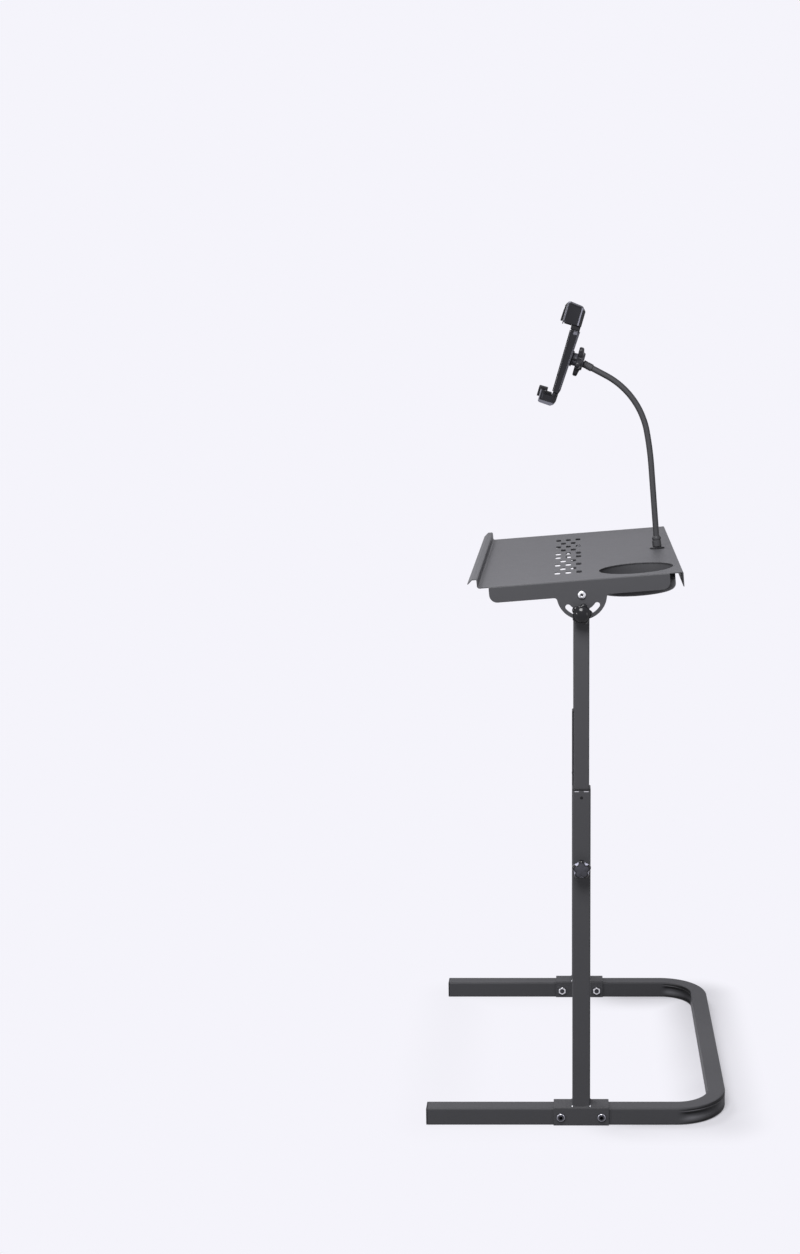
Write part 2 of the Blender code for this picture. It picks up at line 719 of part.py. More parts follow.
def make_post(side):
    """Add one sliding inner post with its top cap."""
    frame = PIVOT_FRAME[side]
    bore = POST_TUBE - 2 * POST_WALL
    top = POST_TOP - PIVOT_HEIGHT
    made = square_tube("inner_post_" + side, POST_TUBE, POST_CORNER, bore,
                       POST_CORNER - POST_WALL, top - POST_LENGTH, top, COAT, frame)
    holes = join_meshes([
        rod_mesh(PIVOT_BOLT / 2 + HOLE_FIT, -POST_TUBE, POST_TUBE, 12),
        moved(rod_mesh(TILT_STUD / 2 + HOLE_FIT, 0, POST_TUBE, 12), (0, TILT_RADIUS, 0))])
    boolean(made, place(holes, "post_holes_" + side, None, frame, rotation=ACROSS, cutter=True))
    flange = place(plate_mesh(square(POST_TUBE, POST_CORNER), top + GAP, top + GAP + POST_CAP),
                   "post_cap_" + side, PLASTIC, frame)
    plug = place(plate_mesh(square(bore - 2 * SLIDE_FIT, POST_CORNER - POST_WALL, 2),
                            top - POST_CAP_PLUG, top + GAP + POST_CAP / 2),
                 "post_cap_plug_" + side, None, frame, cutter=True)
    boolean(flange, plug, "UNION")


def make_pivot(side):
    """Add the pivot bolt, nut and washer, and the tilt clamp knob, washer and nut."""
    frame = PIVOT_FRAME[side]
    face = POST_TUBE / 2
    button_bolt("pivot_bolt_" + side, PIVOT_BOLT, PIVOT_HEAD, PIVOT_HEAD_HEIGHT,
                EAR_OUTER + 2 * GAP + face + PIVOT_NUT_HEIGHT + 0.0015, 0.004, ZINC, frame,
                (0, EAR_OUTER + GAP, 0))
    turned("pivot_washer_" + side,
           ring_profile(PIVOT_WASHER / 2, PIVOT_BOLT / 2 + HOLE_FIT,
                        PIVOT_WASHER_THICKNESS, 0), PLASTIC, frame, (0, face + GAP, 0), ACROSS)
    hex_nut("pivot_nut_" + side, PIVOT_NUT_FLATS, PIVOT_NUT_HEIGHT, PIVOT_BOLT, ZINC, frame,
            (0, -face - GAP, 0), UPRIGHT)
    hex_nut("tilt_nut_" + side, TILT_NUT_FLATS, TILT_NUT_HEIGHT, TILT_STUD, ZINC, frame,
            (0, face - POST_WALL - GAP, -TILT_RADIUS), UPRIGHT)
    turned("tilt_washer_" + side,
           ring_profile(TILT_WASHER / 2, TILT_STUD / 2 + HOLE_FIT, TILT_WASHER_THICKNESS, 0),
           ZINC, frame, (0, EAR_OUTER + GAP, -TILT_RADIUS), ACROSS)
    start = EAR_OUTER + TILT_WASHER_THICKNESS + 2 * GAP
    reach = start - (face - POST_WALL - GAP - TILT_NUT_HEIGHT - 0.002)
    knob("tilt_knob_" + side, TILT_KNOB, TILT_KNOB_THICKNESS, 0.003, TILT_STUD, reach, GLOSS,
         frame, (0, start, -TILT_RADIUS))


TRAY_FRAME = empty("tray_frame", (POST_X, 0, PIVOT_HEIGHT), (0, -TRAY_TILT, 0))


def tray_profile():
    """Return the section of the tray's outer skin, front lip first, as (x, z) points."""
    half = TRAY_LENGTH / 2
    crest = TRAY_RISE + TRAY_LIP_RISE
    corners = [(-half - TRAY_LIP_OUT - TRAY_LIP_HOOK, crest - TRAY_LIP_DROP, 0),
               (-half - TRAY_LIP_OUT, crest, 0.0015),
               (-half, crest, 0.002),
               (-half, TRAY_RISE, 0.003),
               (half, TRAY_RISE, 0.002),
               (half, TRAY_RISE - TRAY_FOLD, 0)]
    return rounded(corners, 2)


def flange_outline(top):
    """Return one side flange with its ear about the pivot, from its top right corner on."""
    bottom = TRAY_RISE - FLANGE_DEPTH
    outline = [(FLANGE_RIGHT, top)]
    for step in range(5):
        turn = -math.pi / 2 * step / 4
        outline.append((FLANGE_RIGHT - FLANGE_CORNER + FLANGE_CORNER * math.cos(turn),
                        bottom + FLANGE_CORNER + FLANGE_CORNER * math.sin(turn)))
    spread = math.sqrt((EAR_RADIUS + EAR_FILLET) ** 2 - (bottom - EAR_FILLET) ** 2)
    lean = math.atan2(bottom - EAR_FILLET, spread)
    for step in range(4):
        turn = math.pi / 2 + (math.pi / 2 + lean) * step / 3
        outline.append((spread + EAR_FILLET * math.cos(turn),
                        bottom - EAR_FILLET + EAR_FILLET * math.sin(turn)))
    for step in range(1, 16):
        turn = lean + (-math.pi - 2 * lean) * step / 16
        outline.append((EAR_RADIUS * math.cos(turn), EAR_RADIUS * math.sin(turn)))
    for step in range(3, -1, -1):
        turn = math.pi / 2 + (math.pi / 2 + lean) * step / 3
        outline.append((-spread - EAR_FILLET * math.cos(turn),
                        bottom - EAR_FILLET + EAR_FILLET * math.sin(turn)))
    for step in range(5):
        turn = -math.pi / 2 - math.pi / 2 * step / 4
        outline.append((-FLANGE_LEFT + FLANGE_CORNER + FLANGE_CORNER * math.cos(turn),
                        bottom + FLANGE_CORNER + FLANGE_CORNER * math.sin(turn)))
    outline.append((-FLANGE_LEFT, top))
    return outline


def arc_slot_mesh(y_low, y_high):
    """Return the cutter of a curved slot about the pivot, along Y."""
    half = TILT_STUD / 2 + TILT_SLOT_CLEAR / 2
    outline = []
    for radius, way in ((TILT_RADIUS + half, 1), (TILT_RADIUS - half, -1)):
        for step in range(-8, 9):
            turn = -math.pi / 2 + way * TILT_SLOT_ANGLE * step / 8
            outline.append((radius * math.cos(turn), radius * math.sin(turn)))
        end = -math.pi / 2 + way * TILT_SLOT_ANGLE
        centre = (TILT_RADIUS * math.cos(end), TILT_RADIUS * math.sin(end))
        for step in range(1, 5):
            turn = end + (0 if way > 0 else math.pi) + math.pi * step / 5
            outline.append((centre[0] + half * math.cos(turn), centre[1] + half * math.sin(turn)))
    mesh = plate_mesh(outline, -y_high, -y_low)
    for vertex in mesh.vertices:
        vertex.co = Vector((vertex.co.x, -vertex.co.z, vertex.co.y))
    return mesh


def make_tray():
    """Add the folded tray: top, front lip, rear fold and side flanges with pivot ears."""
    builder = bmesh.new()
    section = tray_profile()
    shoulder = TRAY_HALF - TRAY_BEND
    lines = {}
    for sign in (-1, 1):
        lines[sign] = [builder.verts.new((x, sign * shoulder, z)) for x, z in section]
    flat = [index for index, point in enumerate(section) if abs(point[1] - TRAY_RISE) < 1e-6]
    left, right = flat[0], flat[-1]
    split = {}
    for sign in (-1, 1):
        split[sign] = [builder.verts.new((x, sign * shoulder, TRAY_RISE))
                       for x in (-FLANGE_LEFT, FLANGE_RIGHT)]
    for index in range(len(section) - 1):
        if index == left:
            near = [lines[-1][left], *split[-1], lines[-1][right]]
            far = [lines[1][left], *split[1], lines[1][right]]
            for step in range(3):
                builder.faces.new((near[step], near[step + 1], far[step + 1], far[step]))
        else:
            builder.faces.new((lines[-1][index], lines[-1][index + 1],
                               lines[1][index + 1], lines[1][index]))
    for sign in (-1, 1):
        row = split[sign]
        for step in range(1, 4):
            turn = math.pi / 2 * step / 3
            y = sign * (shoulder + TRAY_BEND * math.sin(turn))
            z = TRAY_RISE - TRAY_BEND + TRAY_BEND * math.cos(turn)
            fresh = [builder.verts.new((vertex.co.x, y, z)) for vertex in row]
            builder.faces.new((row[0], row[1], fresh[1], fresh[0]))
            row = fresh
        outline = flange_outline(TRAY_RISE - TRAY_BEND)
        ring = [row[1]]
        ring += [builder.verts.new((x, sign * TRAY_HALF, z)) for x, z in outline[1:-1]]
        ring.append(row[0])
        builder.faces.new(ring)
    bmesh.ops.recalc_face_normals(builder, faces=builder.faces)
    top = max(builder.faces, key=lambda face: face.calc_area())
    if top.normal.z < 0:
        bmesh.ops.reverse_faces(builder, faces=builder.faces)
    mesh = bpy.data.meshes.new("tray")
    builder.to_mesh(mesh)
    builder.free()
    made = place(mesh, "tray", COAT_TRAY, TRAY_FRAME)
    shell = made.modifiers.new("sheet", "SOLIDIFY")
    shell.thickness = TRAY_SHEET
    shell.offset = -1
    shell.use_even_offset = True
    boolean(made, place(tray_cutters(), "tray_holes", None, TRAY_FRAME, cutter=True))
    return made


def tray_cutters():
    """Return every hole of the tray as one mesh of separate closed shapes."""
    low, high = TRAY_RISE - 0.01, TRAY_RISE + 0.01
    holes = [moved(rod_mesh(CUP_HOLE / 2, low, high, 40), (CUP_X, CUP_Y, 0)),
             moved(rod_mesh(NECK_STUD / 2 + HOLE_FIT, low, high, 12), (NECK_X, 0, 0))]
    half_length = VENT_LENGTH / 2
    half_width = VENT_WIDTH / 2
    shape = rounded([(half_width, half_length, half_width * 0.98),
                     (-half_width, half_length, half_width * 0.98),
                     (-half_width, -half_length, half_width * 0.98),
                     (half_width, -half_length, half_width * 0.98)], 1)
    for row in range(VENT_ROWS):
        count = 3 - min(row, VENT_ROWS - 1 - row) % 2
        y = (row - (VENT_ROWS - 1) / 2) * VENT_PITCH_Y
        for column in range(count):
            x = VENT_X + (column - (count - 1) / 2) * VENT_PITCH_X
            holes.append(moved(plate_mesh(shape, low, high), (x, y, 0)))
    for sign in (-1, 1):
        y_low, y_high = sorted((sign * (TRAY_HALF - 0.008), sign * (TRAY_HALF + 0.008)))
        holes.append(arc_slot_mesh(y_low, y_high))
        pin = rod_mesh(PIVOT_BOLT / 2 + HOLE_FIT, y_low, y_high, 12)
        for vertex in pin.vertices:
            vertex.co = Vector((vertex.co.x, vertex.co.z, -vertex.co.y))
        holes.append(pin)
    return join_meshes(holes)


def make_cup_well():
    """Add the round well that hangs under the cup hole."""
    inner = CUP_HOLE / 2 + CUP_LEDGE
    outer = inner + CUP_WALL
    top = TRAY_UNDER - GAP
    floor = TRAY_RISE - CUP_DEPTH
    inner_corner = CUP_CORNER - CUP_WALL
    profile = [(inner, top), (outer + CUP_RIM, top), (outer + CUP_RIM, top - CUP_WALL),
               (outer, top - CUP_WALL)]
    for step in range(3):
        turn = math.pi / 2 * step / 2
        profile.append((outer - CUP_CORNER + CUP_CORNER * math.cos(turn),
                        floor + CUP_CORNER - CUP_CORNER * math.sin(turn)))
    profile += [(0, floor), (0, floor + CUP_WALL)]
    bottom = []
    for step in range(3):
        turn = math.pi / 2 * (1 - step / 2)
        bottom.append((inner - inner_corner + inner_corner * math.cos(turn),
                       floor + CUP_WALL + inner_corner - inner_corner * math.sin(turn)))
    profile += bottom + [(inner, top)]
    well = turned("cup_well", profile, COAT_TRAY, TRAY_FRAME, (CUP_X, CUP_Y, 0), steps=32)
    return well


def neck_at(length):
    """Return the place and lean of the gooseneck's middle line at a length along it."""
    x, z, lean = NECK_X, TRAY_RISE, 0.0
    runs = ((NECK_STRAIGHT, 0.0), (NECK_SOFT_ARC, NECK_SOFT_ANGLE), (NECK_ARC, NECK_ARC_ANGLE),
            (NECK_END + 1.0, 0.0))
    for run, bend in runs:
        part = min(run, length)
        if bend:
            radius = run / bend
            turn = bend * part / run
            x += radius * (math.cos(lean + turn) - math.cos(lean))
            z += radius * (math.sin(lean + turn) - math.sin(lean))
            lean += turn
        else:
            x -= part * math.sin(lean)
            z += part * math.cos(lean)
        length -= part
        if length <= 0:
            break
    return x, z, lean


def make_neck_base():
    """Add the foot of the gooseneck, its swivel pin and the nut under the tray."""
    base_top = GAP + NECK_BASE_THICKNESS
    pin = NECK_STUD / 2
    tail = TRAY_SHEET + GAP + NECK_NUT_HEIGHT + 0.0015
    profile = [(0, base_top + NECK_PIN_LENGTH), (pin, base_top + NECK_PIN_LENGTH),
               (pin, base_top), (NECK_BASE_DIAMETER / 2 - 0.001, base_top),
               (NECK_BASE_DIAMETER / 2, base_top - 0.001), (NECK_BASE_DIAMETER / 2, GAP),
               (pin, GAP), (pin, -tail), (0, -tail)]
    turned("neck_base", profile, PLASTIC, TRAY_FRAME, (NECK_X, 0, TRAY_RISE), steps=20)
    hex_nut("neck_base_nut", NECK_NUT_FLATS, NECK_NUT_HEIGHT, NECK_STUD, ZINC, TRAY_FRAME,
            (NECK_X, 0, TRAY_UNDER - GAP), (math.pi, 0, 0))
    low = base_top + GAP
    radius = NECK_FOOT_DIAMETER / 2
    bore = pin + HOLE_FIT
    roof = base_top + NECK_PIN_LENGTH + GAP
    profile = [(0, low + NECK_FOOT_LENGTH), (radius - 0.0015, low + NECK_FOOT_LENGTH),
               (radius, low + NECK_FOOT_LENGTH - 0.0015), (radius, low), (bore, low),
               (bore, roof), (0, roof)]
    turned("neck_foot", profile, NECK, TRAY_FRAME, (NECK_X, 0, TRAY_RISE), steps=20)
    return low + NECK_FOOT_LENGTH


def make_neck_link(index, start, end, ball, socket):
    """Add one link of the gooseneck in the frame of the hinge at its lower end."""
    x, z, lean = neck_at(start)
    frame = empty("neck_frame_" + str(index), (x, 0, z), (0, -lean, 0), TRAY_FRAME)
    low = start + (NECK_HINGE_GAP / 2 if ball else 0)
    high = end - (NECK_HINGE_GAP / 2 if socket else 0)
    count = 5
    curve = bpy.data.curves.new("neck_line", "CURVE")
    curve.dimensions = "3D"
    curve.twist_mode = "Z_UP"
    curve.bevel_depth = NECK_DIAMETER / 2
    curve.bevel_resolution = 2
    curve.use_fill_caps = True
    line = curve.splines.new("POLY")
    line.points.add(count - 1)
    for step, point in enumerate(line.points):
        px, pz, _ = neck_at(low + (high - low) * step / (count - 1))
        dx, dz = px - x, pz - z
        point.co = (dx * math.cos(lean) + dz * math.sin(lean), 0,
                    dz * math.cos(lean) - dx * math.sin(lean), 1)
    guide = bpy.data.objects.new("neck_line", curve)
    CUTTERS.objects.link(guide)
    bpy.context.view_layer.update()
    graph = bpy.context.evaluated_depsgraph_get()
    tube = bpy.data.meshes.new_from_object(guide.evaluated_get(graph))
    bpy.data.objects.remove(guide, do_unlink=True)
    builder = bmesh.new()
    builder.from_mesh(tube)
    bpy.data.meshes.remove(tube)
    bmesh.ops.remove_doubles(builder, verts=builder.verts, dist=0.000005)
    made = place(mesh_of(builder), "neck_link_" + str(index), NECK, frame)
    if ball:
        stud = place(ball_mesh(NECK_BALL / 2, 12, 8), "neck_ball_" + str(index), None, frame,
                     cutter=True)
        boolean(made, stud, "UNION")
    if socket:
        tx, tz, _ = neck_at(end)
        cup = place(ball_mesh(NECK_BALL / 2 + HOLE_FIT, 12, 8), "neck_socket_" + str(index),
                    None, TRAY_FRAME, (tx, 0, tz), (0, -neck_at(end)[2], 0), cutter=True)
        boolean(made, cup)
    return smooth(made)


def make_neck():
    """Add the gooseneck: links hinged on ball joints and the ferrule at its end."""
    foot_top = make_neck_base()
    ends = [foot_top + GAP]
    ends += [NECK_FIRST_HINGE + NECK_PITCH * index for index in range(NECK_LINKS - 1)]
    ends.append(NECK_LENGTH - FERRULE_LENGTH - GAP)
    for index in range(NECK_LINKS):
        make_neck_link(index + 1, ends[index], ends[index + 1], index > 0,
                       index < NECK_LINKS - 1)
    x, z, lean = neck_at(NECK_LENGTH)
    frame = empty("neck_end_frame", (x, 0, z), (0, -lean, 0), TRAY_FRAME)
    radius = FERRULE_DIAMETER / 2
    bore = BALL_STEM / 2 + HOLE_FIT
    depth = BALL_STEM_DEPTH + GAP
    profile = [(0, -depth), (bore, -depth), (bore, 0), (radius - 0.001, 0), (radius, -0.001),
               (radius, -FERRULE_LENGTH + 0.001), (radius - 0.001, -FERRULE_LENGTH),
               (0, -FERRULE_LENGTH)]
    turned("neck_ferrule", profile, NECK, frame, steps=16)
    ball_x, ball_z, _ = neck_at(NECK_LENGTH + BALL_OFFSET)
    ball_frame = empty("ball_frame", (ball_x, 0, ball_z), (0, -lean, 0), TRAY_FRAME)
    ball = BALL_DIAMETER / 2
    stem = BALL_STEM / 2
    profile = [(ball * math.sin(turn), ball * math.cos(turn))
               for turn in (math.radians(18 * step) for step in range(9))]
    profile = [point for point in profile if point[1] > -math.sqrt(ball ** 2 - stem ** 2)]
    tip = -BALL_OFFSET - BALL_STEM_DEPTH
    profile += [(stem, -math.sqrt(ball ** 2 - stem ** 2)), (stem, tip), (0, tip)]
    turned("ball_stud", profile, BOLT_STEEL, ball_frame, steps=16)
    turn = math.pi - (lean + BALL_ANGLE)
    return empty("holder_frame", (ball_x, 0, ball_z), (0, turn, 0), TRAY_FRAME)


HOLDER_FRAME = make_neck()


def along_y(outline, half_width):
    """Return a solid of an outline of (up, depth) points, carried across the holder."""
    mesh = plate_mesh([(-up, depth) for up, depth in outline], -half_width, half_width)
    for vertex in mesh.vertices:
        vertex.co = Vector((vertex.co.x, -vertex.co.z, vertex.co.y))
    return mesh


def make_ball_seat():
    """Add the liner round the ball and the collar nut that clamps it."""
    ball = BALL_DIAMETER / 2
    inner = ball + HOLE_FIT
    outer = inner + LINER_WALL
    lip = COLLET_REACH - 0.0005
    top_inner = math.sqrt(inner ** 2 - lip ** 2)
    top_outer = math.sqrt(outer ** 2 - lip ** 2)
    start_in = math.atan2(top_inner, lip)
    start_out = math.atan2(top_outer, lip)
    profile = [(top_inner, lip)]
    for step in range(7):
        turn = start_out + (math.pi - start_out) * step / 6
        profile.append((outer * math.sin(turn), outer * math.cos(turn)))
    for step in range(9):
        turn = math.pi - (math.pi - start_in) * step / 8
        profile.append((inner * math.sin(turn), inner * math.cos(turn)))
    profile.append(profile[0])
    turned("socket_liner", profile, PLASTIC, HOLDER_FRAME, steps=16)
    collet = outer + HOLE_FIT + COLLET_WALL
    bore = collet + HOLE_FIT
    nut = place(plate_mesh(lobed(COLLAR_RADIUS, COLLAR_WAIST, 5, 8), -COLLAR_BACK,
                           COLLAR_WING), "collar_nut", PLASTIC, HOLDER_FRAME)
    bevel(nut, 0.002, 1, 50)
    rim = COLLAR_WAIST + 0.0015
    hub = turned("collar_hub", [(0, COLLAR_WING - 0.001), (rim, COLLAR_WING - 0.001),
                                (rim, COLLAR_WING + 0.0005), (rim - 0.0015, COLLAR_FRONT),
                                (0, COLLAR_FRONT)], None, HOLDER_FRAME, steps=20)
    boolean(nut, hub, "UNION")
    hollow = turned("collar_bore", [(0, COLLAR_PLATE_FACE), (bore, COLLAR_PLATE_FACE),
                                    (bore, -0.02), (0, -0.02)], None, HOLDER_FRAME, steps=20)
    narrow = BALL_DIAMETER / 2 + 0.0004
    mouth = turned("collar_mouth", [(0, 0.02), (bore + 0.0042, 0.02),
                                    (bore + 0.0012, COLLAR_FRONT), (bore, COLLAR_PLATE_FACE + 0.0024),
                                    (narrow, COLLAR_PLATE_FACE), (narrow, 0), (0, 0)],
                   None, HOLDER_FRAME, steps=20)
    boolean(nut, hollow)
    boolean(nut, mouth)
    smooth(nut)


def make_holder_back():
    """Add the back of the tablet holder with its collet and its guide for the jaw."""
    rear = BACK_FACE - BACK_THICKNESS
    low = BACK_BOTTOM - BACK_CHAMFER_HEIGHT
    outline = [(BACK_TOP, -BACK_FACE), (BACK_TOP, BACK_FLARE - rear), (-low, -rear),
               (-BACK_BOTTOM, -rear - BACK_CHAMFER), (-BACK_BOTTOM, -BACK_FACE)]
    made = place(along_y(outline, BACK_WIDTH / 2), "holder_back", HOLDER, HOLDER_FRAME)
    bevel(made, 0.0015, 1, 40)
    liner = BALL_DIAMETER / 2 + HOLE_FIT + LINER_WALL
    cavity = liner + HOLE_FIT
    collet = cavity + COLLET_WALL
    flange = COLLET_FLANGE / 2
    seat = turned("holder_collet", [(0, COLLET_REACH), (collet, COLLET_REACH),
                                    (collet, -COLLET_FLANGE_FACE), (flange, -COLLET_FLANGE_FACE),
                                    (flange, -rear - 0.001), (0, -rear - 0.001)],
                  None, HOLDER_FRAME, steps=20)
    boolean(made, seat, "UNION")
    boolean(made, place(ball_mesh(cavity, 20, 12), "holder_cavity", None, HOLDER_FRAME,
                        cutter=True))
    slot_end = TONGUE_LENGTH - UPPER_JAW_BASE + 0.0045
    guide = box_mesh((BACK_TOP + slot_end + 0.01, TONGUE_WIDTH + 2 * GAP, TONGUE_THICKNESS + 2 * GAP))
    boolean(made, place(guide, "holder_guide", None, HOLDER_FRAME,
                        (-(BACK_TOP + 0.01 - slot_end) / 2, 0, -TONGUE_DEPTH), cutter=True))
    screw = place(rod_mesh(JAW_SCREW / 2 + HOLE_FIT, -0.012, 0.01, 12), "holder_screw_hole", None,
                  HOLDER_FRAME, (BACK_BOTTOM, 0, -TONGUE_DEPTH), (0, math.pi / 2, 0), cutter=True)
    boolean(made, screw)
    back_pad = place(box_mesh((BACK_BOTTOM + BACK_TOP - 0.004, BACK_WIDTH * 0.8, PAD)), "back_pad",
                     RUBBER, HOLDER_FRAME,
                     ((BACK_BOTTOM - BACK_TOP) / 2, 0, -BACK_FACE - GAP - PAD / 2))
    return back_pad


def make_upper_jaw():
    """Add the sliding upper jaw with its tongue and its pad."""
    base = UPPER_JAW_BASE + PAD + GAP
    tip = UPPER_JAW_BASE - UPPER_LIP_REACH
    top = UPPER_JAW_BASE + UPPER_JAW_HEIGHT
    front = BACK_FACE + UPPER_JAW_DEPTH
    lip = front - UPPER_LIP
    outline = [(base, -UPPER_JAW_REAR), (top - 0.010, -UPPER_JAW_REAR),
               (top - 0.0025, -UPPER_JAW_REAR - 0.0068), (top, -front + 0.0041),
               (top - 0.0017, -front), (tip, -front), (tip, -lip), (base, -lip)]
    made = place(along_y(outline, JAW_WIDTH / 2), "upper_jaw", HOLDER, HOLDER_FRAME)
    bevel(made, 0.0007, 1, 40)
    low = UPPER_JAW_BASE - TONGUE_LENGTH
    tongue = box_mesh((TONGUE_LENGTH + 0.010, TONGUE_WIDTH, TONGUE_THICKNESS))
    boolean(made, place(tongue, "jaw_tongue", None, HOLDER_FRAME,
                        (-(low + (TONGUE_LENGTH + 0.010) / 2), 0, -TONGUE_DEPTH), cutter=True),
            "UNION")
    bottom = BACK_TOP + GAP
    rear = UPPER_JAW_REAR + 0.0007
    face = BACK_FACE + PAD_RELIEF - GAP
    shoulder = box_mesh((base + 0.004 - bottom, BACK_WIDTH - 2 * JAW_SHOULDER_INSET, face - rear))
    boolean(made, place(shoulder, "jaw_shoulder", None, HOLDER_FRAME,
                        (-(base + 0.004 + bottom) / 2, 0, -(face + rear) / 2), cutter=True),
            "UNION")
    depth = (lip + BACK_FACE) / 2
    place(box_mesh((PAD, JAW_WIDTH * 0.86, lip - BACK_FACE - 2 * PAD_RELIEF)), "upper_jaw_pad",
          RUBBER, HOLDER_FRAME, (-(UPPER_JAW_BASE + PAD / 2), 0, -depth))
    face = front + GAP
    start = UPPER_JAW_BASE + 0.003
    outline = [(start, -face), (top - 0.003, -face), (top - 0.005, -face - GUARD * 0.35),
               (top - 0.0095, -face - GUARD * 0.65), (top - 0.018, -face - GUARD * 0.87),
               (start + 0.004, -face - GUARD), (start, -face - GUARD)]
    guard = place(along_y(outline, JAW_WIDTH / 2), "upper_jaw_guard", RUBBER, HOLDER_FRAME)
    bevel(guard, 0.0005, 1, 40)


def make_lower_jaw():
    """Add the fixed lower jaw with its screw and its pad."""
    shelf = LOWER_JAW_TOP + PAD + GAP
    front = BACK_FACE + LOWER_JAW_DEPTH
    inner = front - LOWER_LIP
    tip = LOWER_JAW_TOP - LOWER_LIP_REACH
    base = LOWER_JAW_TOP + LOWER_JAW_HEIGHT
    heel = BACK_BOTTOM + GAP
    outline = [(-heel, -LOWER_JAW_REAR), (-heel, -BACK_FACE), (-shelf, -BACK_FACE),
               (-shelf, -inner), (-tip, -inner), (-tip, -front), (-base + 0.0028, -front),
               (-base + 0.0010, -front + 0.0027), (-base, -LOWER_JAW_REAR - 0.0082),
               (-base + 0.0034, -LOWER_JAW_REAR - 0.0033), (-base + 0.0094, -LOWER_JAW_REAR - 0.0006)]
    made = place(along_y(outline, JAW_WIDTH / 2), "lower_jaw", HOLDER, HOLDER_FRAME)
    bevel(made, 0.0010, 1, 40)
    shank = JAW_SCREW / 2
    seat = LOWER_JAW_TOP + JAW_SCREW_SEAT
    hole = turned("lower_jaw_hole", [(0, 0.02), (shank * 2.2, 0.02), (shank * 2.2, 0),
                                     (shank + HOLE_FIT, 0), (shank + HOLE_FIT, -0.03), (0, -0.03)],
                  None, HOLDER_FRAME, (seat, 0, -TONGUE_DEPTH), (0, math.pi / 2, 0), steps=12)
    boolean(made, hole)
    reach = seat - BACK_BOTTOM + 0.010
    turned("lower_jaw_screw", [(0, 0.0035), (shank * 1.7, 0.0035), (shank * 1.9, GAP),
                               (shank, GAP), (shank, -reach), (0, -reach)], BOLT_STEEL,
           HOLDER_FRAME, (seat, 0, -TONGUE_DEPTH), (0, math.pi / 2, 0), 12)
    leg = inner - GAP - GUARD_LEG
    under, top, face = tip - GAP, tip - GAP - GUARD_TOP, front + GAP
    back = BACK_FACE + PAD_RELIEF
    outline = [(-LOWER_JAW_TOP, -back), (-LOWER_JAW_TOP, -leg), (-top - 0.0008, -leg),
               (-top, -leg - 0.0008), (-top, -face - GUARD + 0.0012),
               (-top - 0.0012, -face - GUARD), (-top - GUARD_REACH, -face - GUARD),
               (-top - GUARD_REACH, -face), (-under, -face), (-under, -inner + GAP),
               (-LOWER_JAW_TOP - PAD + 0.001, -inner + GAP),
               (-LOWER_JAW_TOP - PAD, -inner + GAP + 0.001), (-LOWER_JAW_TOP - PAD, -back)]
    liner = place(along_y(outline, JAW_WIDTH / 2), "lower_jaw_pad", RUBBER, HOLDER_FRAME)
    bevel(liner, 0.0003, 1, 40)


make_base_tube()
for side, sign in SIDES:
    make_end_cap(side, sign)
    make_bracket(side)
    make_saddle_bolts(side)
    make_sleeve(side)
    make_post(side)
    make_pivot(side)
make_tray()
make_cup_well()
make_ball_seat()
make_holder_back()
make_upper_jaw()
make_lower_jaw()
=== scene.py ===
"""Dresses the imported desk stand: fine surfaces, finishes, light and camera."""
import json
import logging
import math
from dataclasses import dataclass, field
from enum import Enum
from typing import Any, Iterable, Iterator, Optional, Sequence, Union

import bmesh
import bpy
import numpy as np
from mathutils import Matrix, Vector
from mathutils.geometry import delaunay_2d_cdt


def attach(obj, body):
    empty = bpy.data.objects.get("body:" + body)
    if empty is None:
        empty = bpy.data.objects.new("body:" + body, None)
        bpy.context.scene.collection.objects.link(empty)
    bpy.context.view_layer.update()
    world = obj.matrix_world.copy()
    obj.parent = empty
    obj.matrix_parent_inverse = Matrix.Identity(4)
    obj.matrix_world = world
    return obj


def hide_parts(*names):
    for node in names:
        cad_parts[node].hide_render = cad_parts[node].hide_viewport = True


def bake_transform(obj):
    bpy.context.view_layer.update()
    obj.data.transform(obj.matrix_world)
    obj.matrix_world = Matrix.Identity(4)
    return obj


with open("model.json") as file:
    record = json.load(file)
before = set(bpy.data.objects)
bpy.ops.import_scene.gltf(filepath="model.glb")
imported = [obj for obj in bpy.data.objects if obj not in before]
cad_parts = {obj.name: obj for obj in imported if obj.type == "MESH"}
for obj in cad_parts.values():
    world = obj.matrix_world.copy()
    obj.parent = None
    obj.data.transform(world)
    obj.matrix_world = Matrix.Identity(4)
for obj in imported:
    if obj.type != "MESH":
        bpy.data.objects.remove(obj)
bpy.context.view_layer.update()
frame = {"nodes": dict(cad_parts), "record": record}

LOG = logging.getLogger("desk_stand")
Array = np.ndarray
Piece = bpy.types.Object
Mesh = bpy.types.Mesh
Level = Union[float, Array]
Triple = tuple[float, float, float]
Colour = tuple[float, float, float, float]


class Slot(Enum):
    """The record's material slots."""

    POWDER = "powder_coat"
    TRAY = "tray_coat"
    ZINC = "zinc"
    BOLT = "bolt_steel"
    PLASTIC = "black_plastic"
    GLOSS = "gloss_plastic"
    HOLDER = "holder_plastic"
    NECK = "neck_coat"
    RUBBER = "pad_rubber"


class Side(Enum):
    """The two posts: near is on the camera's side, far is behind."""

    NEAR = -1
    FAR = 1

    @property
    def label(self) -> str:
        """The word that ends the side's node names."""
        return self.name.lower()

    @property
    def seat(self) -> "Seat":
        """The frame on the floor under the side's post."""
        return Seat((PLAN.post_x, self.value * PLAN.rail_y, 0))


